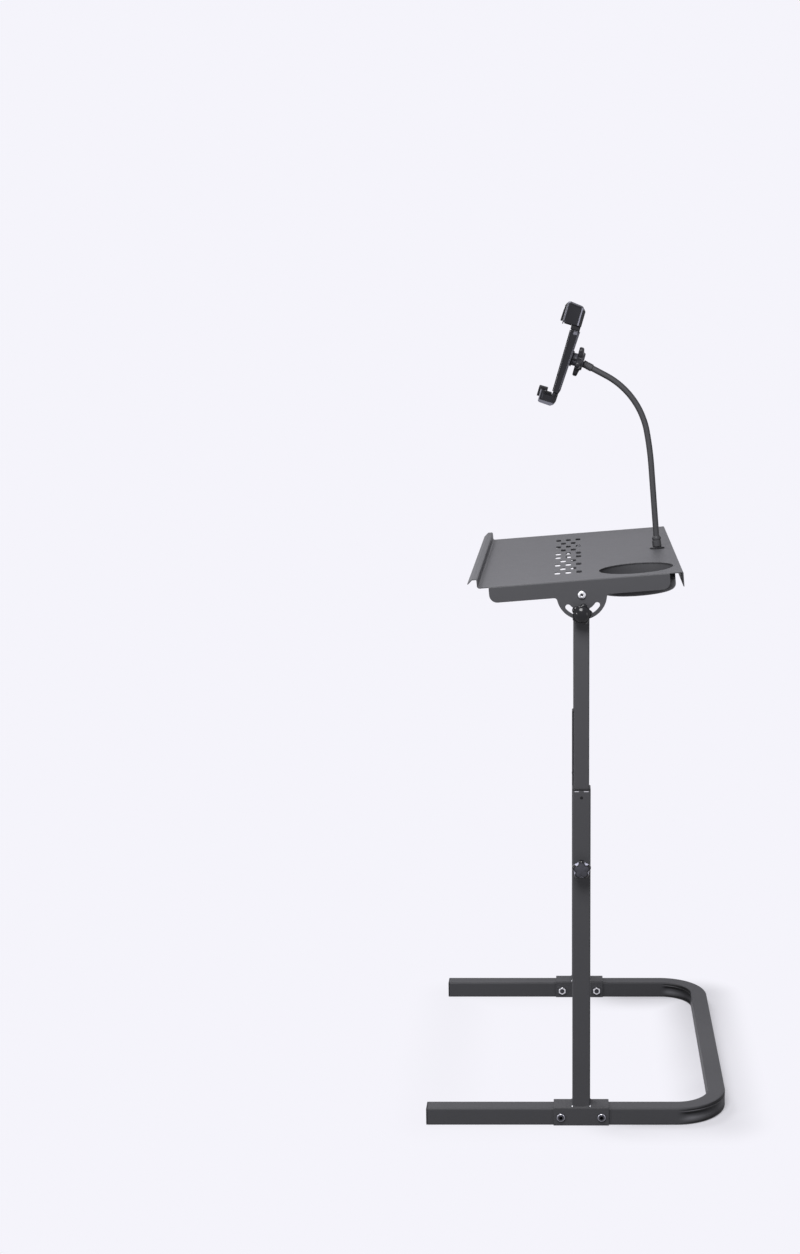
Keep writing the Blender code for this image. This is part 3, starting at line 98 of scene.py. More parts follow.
@dataclass(frozen=True)
class Plan:
    """Sizes that several sub-assemblies share, in metres and radians."""

    base_length: float = 0.510
    base_width: float = 0.625
    tube: float = 0.030
    tube_wall: float = 0.0015
    tube_corner: float = 0.003
    post: float = 0.025
    post_corner: float = 0.0025
    post_x: float = 0.006
    gap: float = 0.0003
    bracket_plate: float = 0.003
    bracket_length: float = 0.093
    sleeve_top: float = 0.580
    pivot_height: float = 0.904
    post_above: float = 0.010
    post_length: float = 0.6167
    ear_gap: float = 0.0036
    sheet: float = 0.0015
    tilt: float = math.radians(4.53)
    tilt_radius: float = 0.0298
    rise: float = 0.0238
    tray_length: float = 0.330
    neck_x: float = tray_length / 2 - 0.0278
    clamp_height: float = 0.452
    stud: float = 0.008

    @property
    def rail_y(self) -> float:
        """Distance of a rail's middle from the middle of the stand."""
        return (self.base_width - self.tube) / 2

    @property
    def tube_bore(self) -> float:
        """Width inside the base tube and the sleeves."""
        return self.tube - 2 * self.tube_wall

    @property
    def bracket_top(self) -> float:
        """Height of the saddle's upper face."""
        return self.tube + self.gap + self.bracket_plate

    @property
    def ear_outer(self) -> float:
        """Distance of an ear's outer face from the middle of its post."""
        return self.post / 2 + self.ear_gap + self.sheet

    @property
    def tray_half(self) -> float:
        """Half the tray's width over its flanges."""
        return self.rail_y + self.ear_outer


PLAN = Plan()


@dataclass(frozen=True)
class Seat:
    """A local frame: an origin and the directions of its three axes."""

    origin: Triple
    x_axis: Triple = (1.0, 0.0, 0.0)
    z_axis: Triple = (0.0, 0.0, 1.0)

    def put(self, points: Union[Array, Sequence[Array]]) -> Array:
        """Carry local points to the stand's frame.

        Args:
            points: An array, or rings to stack, whose last axis holds x, y and z.

        Returns:
            The same points in the stand's frame: origin plus x, y and z along the axes.
        """
        along = np.asarray(self.x_axis, float)
        up = np.asarray(self.z_axis, float)
        turn = np.stack([along, np.cross(up, along), up])
        return np.asarray(points, float) @ turn + np.asarray(self.origin, float)

    def shifted(self, x: float = 0.0, y: float = 0.0, z: float = 0.0) -> "Seat":
        """Return the same frame moved along its own axes."""
        return Seat(tuple(self.put(np.array([x, y, z]))), self.x_axis, self.z_axis)


def opposite(axis: Triple) -> Triple:
    """Return the opposite direction."""
    return tuple(-part for part in axis)


def outward(side: Side, x: float, reach: float, height: float, facing: int = 1) -> Seat:
    """Return a frame on a post's side whose Z points away from the stand's middle.

    Args:
        side: The post.
        x: Place along X.
        reach: Distance from the rail's middle, outwards.
        height: Height above the floor.
        facing: 1 for a Z outwards, -1 for a Z inwards.

    Returns:
        The frame, with its X along the stand's X.
    """
    return Seat((x, side.value * (PLAN.rail_y + reach), height), (1, 0, 0), (0, side.value * facing, 0))


TRAY_SEAT = Seat((PLAN.post_x, 0, PLAN.pivot_height), (math.cos(PLAN.tilt), 0, math.sin(PLAN.tilt)),
    (-math.sin(PLAN.tilt), 0, math.cos(PLAN.tilt)))


class Ink:
    """A shader socket that takes part in arithmetic."""

    def __init__(self, paint: "Paint", socket: bpy.types.NodeSocket) -> None:
        """Keep the material and the socket."""
        self.paint = paint
        self.socket = socket

    def _math(self, word: str, first: Any, second: Any) -> "Ink":
        """Add a Math node and return its result."""
        return self.paint.node("ShaderNodeMath", {"operation": word}, {0: first, 1: second})

    def __add__(self, other: Any) -> "Ink":
        """Return the sum."""
        return self._math("ADD", self, other)

    __radd__ = __add__

    def __sub__(self, other: Any) -> "Ink":
        """Return the difference."""
        return self._math("SUBTRACT", self, other)

    def __mul__(self, other: Any) -> "Ink":
        """Return the product."""
        return self._math("MULTIPLY", self, other)

    __rmul__ = __mul__

    def apply(self, word: str, other: Any = 0.0) -> "Ink":
        """Return the result of one Math operation on the socket and another value."""
        return self._math(word, self, other)

    def above(self, level: float) -> "Ink":
        """Return 1 where the socket is above a level, else 0."""
        return self.apply("GREATER_THAN", level)


class Paint:
    """One node material, or a world, and the ways to add nodes to it."""

    def __init__(self, name: str, world: bool = False) -> None:
        """Make an empty node material with a Principled shader, or a world."""
        store = bpy.data.worlds if world else bpy.data.materials
        self.material = store.new(name)
        self.material.use_nodes = True
        self.tree = self.material.node_tree
        self.shader = self.tree.nodes.get("Background" if world else "Principled BSDF")

    def _feed(self, socket: bpy.types.NodeSocket, value: Any) -> None:
        """Link a socket to an Ink, or write a plain value on it."""
        if isinstance(value, Ink):
            self.tree.links.new(value.socket, socket)
        else:
            socket.default_value = value

    def node(self, kind: str, settings: Optional[dict[str, Any]] = None,
            inputs: Optional[dict[Union[int, str], Any]] = None, output: Union[int, str] = 0) -> Ink:
        """Add any node.

        Args:
            kind: The node's type.
            settings: Properties of the node, set first.
            inputs: Values or links of its sockets, by index or name.
            output: The output to return.

        Returns:
            The chosen output as an Ink.
        """
        made = self.tree.nodes.new(kind)
        for key, value in (settings or {}).items():
            setattr(made, key, value)
        for key, value in (inputs or {}).items():
            self._feed(made.inputs[key], value)
        return Ink(self, made.outputs[output])

    def coordinates(self) -> Ink:
        """Return the Object coordinates."""
        return self.node("ShaderNodeTexCoord", output="Object")

    def mark(self, name: str) -> Ink:
        """Return a mesh attribute."""
        return self.node("ShaderNodeAttribute", {"attribute_name": name}, output="Fac")

    def noise(self, scale: float, detail: float = 2.0, stretch: Sequence[float] = (1, 1, 1)) -> Ink:
        """Return a noise from 0 to 1 whose cells are 1/scale metres wide."""
        where = self.node("ShaderNodeMapping", {}, {"Vector": self.coordinates(), "Scale": tuple(stretch)})
        return self.node("ShaderNodeTexNoise", {"noise_dimensions": "3D"},
            {"Vector": where, "Scale": scale, "Detail": detail}, "Fac")

    def cells(self, scale: float) -> Ink:
        """Return the distance to the nearest of random points 1/scale metres apart."""
        return self.node("ShaderNodeTexVoronoi", {"feature": "F1"},
            {"Vector": self.coordinates(), "Scale": scale}, "Distance")

    def mix(self, factor: Any, first: Any, second: Any) -> Ink:
        """Return a colour between two colours, each three numbers or a link."""
        ends = [end if isinstance(end, Ink) else (*end, 1.0) for end in (first, second)]
        return self.node("ShaderNodeMix", {"data_type": "RGBA"}, {0: factor, 6: ends[0], 7: ends[1]}, 2)

    def bump(self, height: Ink, strength: float, distance: float) -> Ink:
        """Return a normal bent by a height."""
        return self.node("ShaderNodeBump", {}, {"Height": height, "Strength": strength,
            "Distance": distance})

    def shade(self, **sockets: Any) -> bpy.types.Material:
        """Write the shader's sockets, with underscores for spaces, and return the material."""
        for key, value in sockets.items():
            self._feed(self.shader.inputs[key.replace("_", " ")], value)
        return self.material


def tone(colour: Sequence[float], factor: float) -> tuple[float, ...]:
    """Return a colour made lighter or darker by a factor."""
    return tuple(min(1.0, part * factor) for part in colour)


@dataclass(frozen=True)
class Finish:
    """What every finish has: its slot and its colour."""

    slot: Slot
    colour: Triple

    def paint(self) -> Paint:
        """Return an empty material named for the slot."""
        return Paint(self.slot.value + "_finish")

    def shades(self, paint: Paint, factor: Ink, low: float, high: float) -> Ink:
        """Return a mix of the colour made darker and made lighter."""
        return paint.mix(factor, tone(self.colour, low), tone(self.colour, high))


@dataclass(frozen=True)
class PowderCoat(Finish):
    """A baked powder coat: satin, with fine orange peel and a faint cloudiness.

    Where the along attribute is above 0 the coat carries painted shade, as in a crease, and
    where it is below 0 a painted highlight, as on a ridge.
    """

    roughness: float = 0.5
    peel: float = 900.0
    sheen: float = 0.18

    def build(self) -> bpy.types.Material:
        """Return the coat's material."""
        paint = self.paint()
        speck = paint.noise(2600.0, 1.0)
        blend = paint.noise(14.0, 3.0) * 0.5 + speck * 0.5
        peel = paint.noise(self.peel, 2.0) + paint.noise(self.peel * 3.1, 1.0) * 0.5
        rough = self.roughness - 0.02 + paint.noise(60.0, 2.0) * 0.04
        # along above 0 mixes in painted shade, and below 0 a painted highlight.
        deep = paint.mark("along")
        coat = paint.mix(deep, self.shades(paint, blend, 0.9, 1.1), tone(self.colour, 0.08))
        return paint.shade(Base_Color=paint.mix(deep * -1.0, coat, tone(self.colour, 2.4)),
            Roughness=rough, Metallic=0.0, IOR=1.5, Specular_IOR_Level=self.sheen,
            Normal=paint.bump(peel, 0.14, 0.0003))


@dataclass(frozen=True)
class Moulded(Finish):
    """An injection-moulded plastic with a fine spark texture and painted highlights on marked faces."""

    roughness: float = 0.45
    spark: float = 2200.0
    depth: float = 0.25
    sheen: float = 0.5
    # Tone factor of the painted highlight on marked faces.
    painted_highlight: float = 4.0

    def build(self) -> bpy.types.Material:
        """Return the plastic's material, with a painted highlight and a smoother surface on the marked
        faces.
        """
        paint = self.paint()
        flow = paint.noise(40.0, 2.0, (1.0, 1.0, 0.4))
        grain = paint.noise(self.spark, 2.0)
        # The marks lighten the colour as a painted highlight and also lower the roughness.
        painted_highlight_mask = paint.mark("painted_highlight") + paint.mark("along")
        plain = self.shades(paint, flow, 0.8, 1.25)
        return paint.shade(Base_Color=paint.mix(painted_highlight_mask, plain, tone(self.colour, self.painted_highlight)),
            Roughness=self.roughness - 0.05 + grain * 0.10 - painted_highlight_mask * 0.05, Metallic=0.0,
            Specular_IOR_Level=self.sheen,
            Normal=paint.bump(grain, self.depth, 0.0002))


@dataclass(frozen=True)
class Plated(Finish):
    """Plated steel with fine turning lines and a faint uneven tone."""

    roughness: float = 0.28
    # Tone factor of the painted highlight where along is below 0.
    rim: float = 1.0

    def build(self) -> bpy.types.Material:
        """Return the plating's material: painted shade where along is 1 and a painted highlight where it
        is -1.
        """
        paint = self.paint()
        lines = paint.noise(900.0, 3.0, (0.15, 1.0, 1.0))
        stain = paint.noise(120.0, 2.0)
        # along at 1 darkens to painted shade, as in bolt sockets; below 0 it lightens by rim to a painted
        # highlight.
        deep = paint.mark("along")
        bright = self.shades(paint, stain, 0.82, 1.08)
        return paint.shade(Base_Color=paint.mix(deep * -1.0,
            paint.mix(deep, bright, tone(self.colour, 0.06)), tone(self.colour, self.rim)),
            Roughness=self.roughness + lines * 0.14, Metallic=1.0, Normal=paint.bump(lines, 0.12, 0.0001))


@dataclass(frozen=True)
class Sheath(Finish):
    """The smooth black sheath of the gooseneck, with the coil beneath just telling."""

    pitch: float = 0.0026

    def build(self) -> bpy.types.Material:
        """Return the sheath's material, darkened towards its outline as painted shade and a little
        lightened face-on as a painted highlight.
        """
        paint = self.paint()
        along = paint.mark("along")
        coil = paint.node("ShaderNodeMath", {"operation": "SINE"}, {0: along * (2 * math.pi / self.pitch)})
        grain = paint.noise(1800.0, 2.0)
        # The facing ramp darkens the colour towards the outline as painted shade and lightens it a little
        # face-on as a painted highlight.
        rim = paint.node("ShaderNodeLayerWeight", {}, {"Blend": 0.62}, "Facing")
        return paint.shade(Base_Color=self.shades(paint, rim, 1.1, 0.12),
            Roughness=0.33 + grain * 0.08, Metallic=0.0, Specular_IOR_Level=0.12,
            Normal=paint.bump(coil * 0.5 + grain * 0.4, 0.12, 0.0003))


@dataclass(frozen=True)
class Rubber(Finish):
    """Matt rubber of the clamp's pads."""

    def build(self) -> bpy.types.Material:
        """Return the rubber's material."""
        paint = self.paint()
        dust = paint.noise(300.0, 3.0)
        pits = paint.cells(1500.0)
        return paint.shade(Base_Color=self.shades(paint, dust, 0.8, 1.5),
            Roughness=0.78 + dust * 0.12, Metallic=0.0, Specular_IOR_Level=0.12,
            Normal=paint.bump(pits, 0.3, 0.0002))


FINISHES = {finish.slot: finish for finish in (
    PowderCoat(Slot.POWDER, (0.066, 0.066, 0.072)),
    PowderCoat(Slot.TRAY, (0.066, 0.066, 0.072)),
    Plated(Slot.ZINC, (0.62, 0.62, 0.64)),
    # The bolt steel's 7.0 sets the tone of its painted highlights; the last factor of the glossy and
    # holder plastics sets theirs.
    Plated(Slot.BOLT, (0.045, 0.045, 0.050), 0.22, 7.0),
    Moulded(Slot.PLASTIC, (0.011, 0.011, 0.013), 0.34, sheen=0.2),
    Moulded(Slot.GLOSS, (0.008, 0.008, 0.010), 0.17, 900.0, 0.03, sheen=0.27, painted_highlight=60.0),
    Moulded(Slot.HOLDER, (0.014, 0.014, 0.017), 0.30, 1800.0, 0.12, sheen=0.15, painted_highlight=13.0),
    Sheath(Slot.NECK, (0.058, 0.058, 0.063)),
    Rubber(Slot.RUBBER, (0.012, 0.012, 0.014)))}


class Wardrobe:
    """Builds each finish once and hands out its material."""

    def __init__(self) -> None:
        """Start with nothing built."""
        self.made: dict[Slot, bpy.types.Material] = {}

    def material(self, slot: Slot) -> bpy.types.Material:
        """Return the material of a slot."""
        if slot not in self.made:
            self.made[slot] = FINISHES[slot].build()
        return self.made[slot]

    def dress_nodes(self, nodes: dict[str, Piece], record: dict[str, Any]) -> None:
        """Give every CAD node the finish of its slot.

        Args:
            nodes: The CAD nodes by name.
            record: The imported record, whose subparts name each node's slot.
        """
        slots = {part["node"]: part["material_slot"] for part in record["subparts"]}
        for name, node in nodes.items():
            node.data.materials.clear()
            node.data.materials.append(self.material(Slot(slots[name])))


WARDROBE = Wardrobe()


class Skin:
    """Gathers surfaces and turns them into one finished piece."""

    def __init__(self, name: str) -> None:
        """Start an empty piece."""
        self.name = name
        self.points: list[Array] = []
        self.along: list[Array] = []
        self.faces: list[list[int]] = []
        self.count = 0
        self.built: Optional[Mesh] = None

    def _add(self, points: Array, along: Optional[Array]) -> int:
        """Store points and return the index of the first."""
        flat = points.reshape(-1, 3)
        self.points.append(flat)
        self.along.append(np.zeros(len(flat)) if along is None else np.ravel(along))
        first = self.count
        self.count += len(flat)
        return first

    def grid(self, points: Array, wrap_u: bool = False, wrap_v: bool = True,
            along: Optional[Array] = None) -> "Skin":
        """Add a surface given on a grid of rows and columns.

        Args:
            points: Rows by columns by 3.
            wrap_u: Whether the last row joins the first.
            wrap_v: Whether the last column joins the first.
            along: A value for each point, kept as an attribute.

        Returns:
            The piece.
        """
        rows, columns = points.shape[:2]
        index = np.arange(rows * columns).reshape(rows, columns) + self._add(points, along)
        if wrap_u:
            index = np.concatenate([index, index[:1]], axis=0)
        if wrap_v:
            index = np.concatenate([index, index[:, :1]], axis=1)
        quads = plot(index[:-1, :-1], index[:-1, 1:], index[1:, 1:], index[1:, :-1])
        self.faces += quads.reshape(-1, 4).tolist()
        return self

    def cap(self, ring: Array) -> "Skin":
        """Close a ring of points with one flat face."""
        first = self._add(ring, None)
        self.faces.append(list(range(first, first + len(ring))))
        return self

    def solid(self, rows: Array) -> "Skin":
        """Add a closed form: rings from one end to the other, flat at both ends."""
        return self.grid(rows).cap(rows[0]).cap(rows[-1])

    def mesh(self, merge: float = 2e-6) -> Mesh:
        """Return the mesh, built once, with its doubles merged and its faces pointing out."""
        if self.built:
            return self.built
        made = bpy.data.meshes.new(self.name)
        made.from_pydata(np.concatenate(self.points), [], self.faces)
        layer = made.attributes.new("along", "FLOAT", "POINT")
        layer.data.foreach_set("value", np.concatenate(self.along).astype(np.float32))
        builder = bmesh.new()
        builder.from_mesh(made)
        bmesh.ops.remove_doubles(builder, verts=builder.verts, dist=merge)
        bmesh.ops.dissolve_degenerate(builder, edges=builder.edges, dist=1e-7)
        bmesh.ops.recalc_face_normals(builder, faces=builder.faces)
        builder.to_mesh(made)
        builder.free()
        self.built = made
        return made

    def finish(self, slot: Slot, body: Optional[str], replaces: Iterable[str] = (),
            sharp: float = 32.0) -> Piece:
        """Make the piece's object, shade it and tie it to its body, if one is given.

        Args:
            slot: Its finish.
            body: The CAD body that it rides on, or None to leave it untied here.
            replaces: The CAD nodes that it stands for.
            sharp: Edges steeper than this many degrees stay sharp.

        Returns:
            The object.
        """
        mesh = self.mesh()
        mesh.shade_smooth()
        mesh.set_sharp_from_angle(angle=math.radians(sharp))
        mesh.materials.clear()
        mesh.materials.append(WARDROBE.material(slot))
        made = put_in_scene(self.name, mesh)
        if body:
            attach(made, body)
        if replaces:
            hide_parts(*replaces)
        return made

    def combine(self, other: "Skin", operation: str = "DIFFERENCE") -> None:
        """Cut another closed form out of this one, or join it on.

        Args:
            other: The other form.
            operation: The kind of Boolean.
        """
        pair = [put_in_scene("shape", item) for item in (self.mesh(), other.mesh())]
        step = pair[0].modifiers.new("step", "BOOLEAN")
        step.operation = operation
        step.solver = "EXACT"
        step.object = pair[1]
        bpy.context.view_layer.update()
        graph = bpy.context.evaluated_depsgraph_get()
        self.built = bpy.data.meshes.new_from_object(pair[0].evaluated_get(graph))
        for item in pair:
            bpy.data.objects.remove(item, do_unlink=True)


def put_in_scene(name: str, data: bpy.types.ID) -> Piece:
    """Make an object of a mesh, a light or a camera and add it to the scene."""
    made = bpy.data.objects.new(name, data)
    bpy.context.scene.collection.objects.link(made)
    return made


def fillet(corners: Sequence[Triple], steps: int = 5, closed: bool = True, hold: float = 0.0) -> Array:
    """Return an outline whose corners are rounded.

    Each corner (x, y, radius) becomes an arc that touches both its sides. A hold adds a point
    that far before and after each arc, which keeps the flat sides flat when shaded.

    Args:
        corners: The corners in order.
        steps: Steps in each arc.
        closed: Whether the last corner joins the first.
        hold: Distance of the holding points from the arcs.

    Returns:
        The points, n by 2.
    """
    spots = np.array([corner[:2] for corner in corners], float)
    runs: list[Array] = []
    for index, (_, _, radius) in enumerate(corners):
        ends = not closed and index in (0, len(corners) - 1)
        here = spots[index]
        if radius <= 0 or ends:
            runs.append(here[None])
            continue
        back = spots[index - 1] - here
        ahead = spots[(index + 1) % len(corners)] - here
        back = back / np.linalg.norm(back)
        ahead = ahead / np.linalg.norm(ahead)
        half = math.acos(float(np.clip(back @ ahead, -1, 1))) / 2
        middle = (back + ahead) / np.linalg.norm(back + ahead)
        centre = here + middle * radius / math.sin(half)
        reach = radius / math.tan(half)
        start = here + back * reach - centre
        side = float(np.sign(back[1] * ahead[0] - back[0] * ahead[1]))
        turns = np.linspace(0, math.pi - 2 * half, steps + 1)
        first = math.atan2(start[1], start[0])
        arc = centre + radius * unit(first + side * turns)
        if hold:
            arc = np.concatenate([[here + back * (reach + hold)], arc, [here + ahead * (reach + hold)]])
        runs.append(arc)
    return np.concatenate(runs)


@dataclass(frozen=True)
class Outline:
    """A closed outline of (x, y, rounding) corners that can be moved inwards exactly."""

    corners: tuple[Triple, ...]
    steps: int = 5
    hold: float = 0.0005

    def at(self, amount: float = 0.0) -> Array:
        """Return the outline moved inwards.

        Each corner moves by amount times (n1 + n2) / (1 + n1 . n2) of its sides' inward
        normals. An outer rounding shrinks by the amount and an inner one grows by it.

        Args:
            amount: The distance.

        Returns:
            The points, n by 2.
        """
        data = np.array(self.corners, float)
        spots, radii = data[:, :2], data[:, 2]
        ahead = np.roll(spots, -1, axis=0) - spots
        ahead /= np.linalg.norm(ahead, axis=1, keepdims=True)
        back = np.roll(ahead, 1, axis=0)
        area = np.sum(spots[:, 0] * np.roll(spots[:, 1], -1) - spots[:, 1] * np.roll(spots[:, 0], -1))
        side = 1.0 if area > 0 else -1.0
        first = plot(-back[:, 1], back[:, 0]) * side
        second = plot(-ahead[:, 1], ahead[:, 0]) * side
        scale = 1 + np.sum(first * second, axis=1, keepdims=True)
        moved = spots + amount * (first + second) / scale
        convex = (back[:, 0] * ahead[:, 1] - back[:, 1] * ahead[:, 0]) * side > 0
        grown = np.where(convex, np.maximum(radii - amount, 0.00015), radii + amount)
        grown = np.where(radii > 0, grown, 0.0)
        corners = np.concatenate([moved, grown[:, None]], axis=1)
        return fillet([tuple(corner) for corner in corners], self.steps, hold=self.hold)

    def rings(self, *levels: tuple[float, float]) -> list[Array]:
        """Return a ring of the outline for each (distance inwards, height)."""
        return [lift(self.at(amount), height) for amount, height in levels]

    def prism(self, low: float, high: float, edge: float = 0.0008, steps: int = 3, rim: float = 0.0,
            sunk: float = 0.0) -> Array:
        """Return the rings of the outline carried from low to high.

        The edges are quarter circles: drawn in by edge times (1 - sin a) where the end is
        edge times (1 - cos a) away. With a rim, each end face is sunk inside it.

        Args:
            low: Height of the lower end.
            high: Height of the upper end.
            edge: Radius of the rounded edges.
            steps: Steps in each rounded edge.
            rim: Width of the raised rim, or 0.
            sunk: Depth of the faces inside the rim.

        Returns:
            Rings by points by 3.
        """
        turns = np.linspace(0, math.pi / 2, steps + 1)
        rounds = [(edge * (1 - math.sin(turn)), edge * (1 - math.cos(turn))) for turn in turns]
        soft = min(sunk * 0.4, 0.0004)
        face = [(edge + 0.0005, 0.0)]
        if rim:
            face = [(rim + 0.0009 + soft, sunk), (rim + 0.0004 + soft, sunk),
                (rim + 0.0004, sunk - soft * 0.3), (rim + soft * 0.3, soft), (rim, 0.0),
                (edge + 0.0003, 0.0)]
        ends = face + rounds
        levels = [(amount, low + deep) for amount, deep in ends]
        levels += [(0, low + edge + 0.0005), (0, high - edge - 0.0005)]
        levels += [(amount, high - deep) for amount, deep in reversed(ends)]
        return np.stack(self.rings(*levels))


def plot(*parts: Level) -> Array:
    """Return points from their coordinates, each a number or an array."""
    return np.stack(np.broadcast_arrays(*parts), -1)


def square(width: float, corner: float, steps: int = 6) -> Outline:
    """Return a square outline with rounded corners."""
    half = width / 2
    return Outline(((half, -half, corner), (half, half, corner), (-half, half, corner),
        (-half, -half, corner)), steps, 0.0005)


def inset(outline: Array, amount: float) -> Array:
    """Return an outline moved inwards: each point goes along the mean normal of its sides."""
    ahead = np.roll(outline, -1, axis=0) - outline
    ahead /= np.linalg.norm(ahead, axis=1, keepdims=True) + 1e-12
    back = np.roll(ahead, 1, axis=0)
    normal = plot(-(ahead + back)[:, 1], (ahead + back)[:, 0])
    size = np.linalg.norm(normal, axis=1, keepdims=True) + 1e-12
    normal /= size
    mitre = 1 / np.clip(size / 2, 0.5, 1.0)
    area = np.sum(outline[:, 0] * np.roll(outline[:, 1], -1) - outline[:, 1] * np.roll(outline[:, 0], -1))
    return outline + normal * mitre * amount * (1.0 if area > 0 else -1.0)


def lift(outline: Array, height: Level) -> Array:
    """Return an outline as points at a height."""
    return plot(outline[:, 0], outline[:, 1], height)


def full_turn(count: int) -> Array:
    """Return that many even angles once round."""
    return np.linspace(0, 2 * math.pi, count, endpoint=False)


def lathe(profile: Sequence[tuple[float, float]], count: int = 48) -> Array:
    """Return a turned surface: each (radius, height) of the profile becomes a ring."""
    return np.stack(spin(full_turn(count), *profile))


def turned(corners: Sequence[Triple], count: int = 48, steps: int = 4,
        closed: bool = False, hold: float = 0.0004) -> Array:
    """Return a turned surface from a profile of (radius, height, rounding) corners."""
    return lathe(fillet(corners, steps, closed, hold), count)


def pipe(outer: Outline, inner: Outline, low: float, high: float, edge: float = 0.0004,
         hold: float = 0.0008) -> Array:
    """Return the rings of a hollow straight tube: up its outside and down its inside."""
    return np.stack(outer.rings((edge, low), (0, low + edge), (0, low + edge + hold),
                                (0, high - edge - hold), (0, high - edge), (edge, high))
                    + inner.rings((0, high), (0, high - hold), (0, low + hold), (0, low)))


def hex_ring(flats: float, angles: Array) -> Array:
    """Return the distance of a hexagon's edge from its middle at each angle."""
    sector = (angles + math.pi / 6) % (math.pi / 3) - math.pi / 6
    return flats / 2 / np.cos(sector)


def polar(reach: Level, angles: Array, height: Level) -> Array:
    """Return a ring of points from distances, angles and heights."""
    return plot(reach * np.cos(angles), reach * np.sin(angles), height)


def spin(angles: Array, *levels: tuple[Level, Level]) -> list[Array]:
    """Return a ring of points for each (distance, height)."""
    return [polar(reach, angles, height) for reach, height in levels]


def unit(turns: Array) -> Array:
    """Return the points of the unit circle at some angles."""
    return plot(np.cos(turns), np.sin(turns))


def arc_about(x: float, y: float, radius: float, turns: Array) -> Array:
    """Return the points of a circle about (x, y) at some angles."""
    return np.array([x, y]) + radius * unit(turns)


def inside(spots: Array, ring: Array) -> Array:
    """Tell which points lie in an outline: a ray from each crosses its sides an odd number of times.

    Args:
        spots: The points, n by 2.
        ring: The outline, m by 2.

    Returns:
        True for each point inside.
    """
    x, y = spots[:, :1], spots[:, 1:]
    x1, y1 = ring[:, 0], ring[:, 1]
    x2, y2 = np.roll(x1, -1), np.roll(y1, -1)
    spans = (y1 > y) != (y2 > y)
    rise = np.where(np.abs(y2 - y1) < 1e-12, 1e-12, y2 - y1)
    crossings = spans & (x < (x2 - x1) * (y - y1) / rise + x1)
    return crossings.sum(axis=1) % 2 == 1


def flat_face(skin: Skin, rings: Sequence[Array], put: Any) -> None:
    """Add a flat face with holes, cut into triangles.

    Args:
        skin: The piece.
        rings: The outer outline and then the holes, each n by 2.
        put: A function from n by 2 points to n by 3 points.
    """
    spots = np.concatenate(rings)
    edges: list[tuple[int, int]] = []
    first = 0
    for ring in rings:
        index = np.arange(len(ring)) + first
        edges += list(zip(index.tolist(), np.roll(index, -1).tolist()))
        first += len(ring)
    cut = delaunay_2d_cdt([Vector(spot) for spot in spots], edges, [], 1, 1e-7)
    points = np.array([tuple(spot) for spot in cut[0]])
    triangles = np.array(cut[2])
    middles = points[triangles].mean(axis=1)
    kept = inside(middles, rings[0])
    for hole in rings[1:]:
        kept &= ~inside(middles, hole)
    start = skin._add(put(points), None)
    skin.faces += (triangles[kept] + start).tolist()


def settle(made: Piece, sharp: float = 32.0) -> Piece:
    """Write an object's modifiers into its mesh, with normals weighted by area.

    Args:
        made: The object.
        sharp: Edges steeper than this many degrees stay sharp.

    Returns:
        The object.
    """
    bpy.context.view_layer.update()
    graph = bpy.context.evaluated_depsgraph_get()
    mesh = bpy.data.meshes.new_from_object(made.evaluated_get(graph))
    made.modifiers.clear()
    made.data = mesh
    mesh.shade_smooth()
    mesh.set_sharp_from_angle(angle=math.radians(sharp))
    weighted = made.modifiers.new("normals", "WEIGHTED_NORMAL")
    weighted.keep_sharp = True
    weighted.weight = 80
    return made


def thicken(made: Piece, thickness: float) -> None:
    """Give an open sheet its thickness, inwards."""
    wall = made.modifiers.new("sheet", "SOLIDIFY")
    wall.thickness = thickness
    wall.offset = -1
    wall.use_even_offset = True


def soften(made: Piece, width: float, segments: int = 2, angle: float = 40) -> None:
    """Round an object's sharp edges."""
    rounding = made.modifiers.new("rounding", "BEVEL")
    rounding.width = width
    rounding.segments = segments
    rounding.limit_method = "ANGLE"
    rounding.angle_limit = math.radians(angle)


def thread(radius: float, low: float, high: float, pitch: float = 0.00125,
        depth: float = 0.0005) -> list[tuple[float, float]]:
    """Return a threaded shank's profile from low to high: crests and roots by turns."""
    count = max(2, int((high - low) / pitch * 2))
    heights = np.linspace(low, high, count)
    reach = np.where(np.arange(count) % 2, radius - depth, radius)
    return list(zip(reach.tolist(), heights.tolist()))


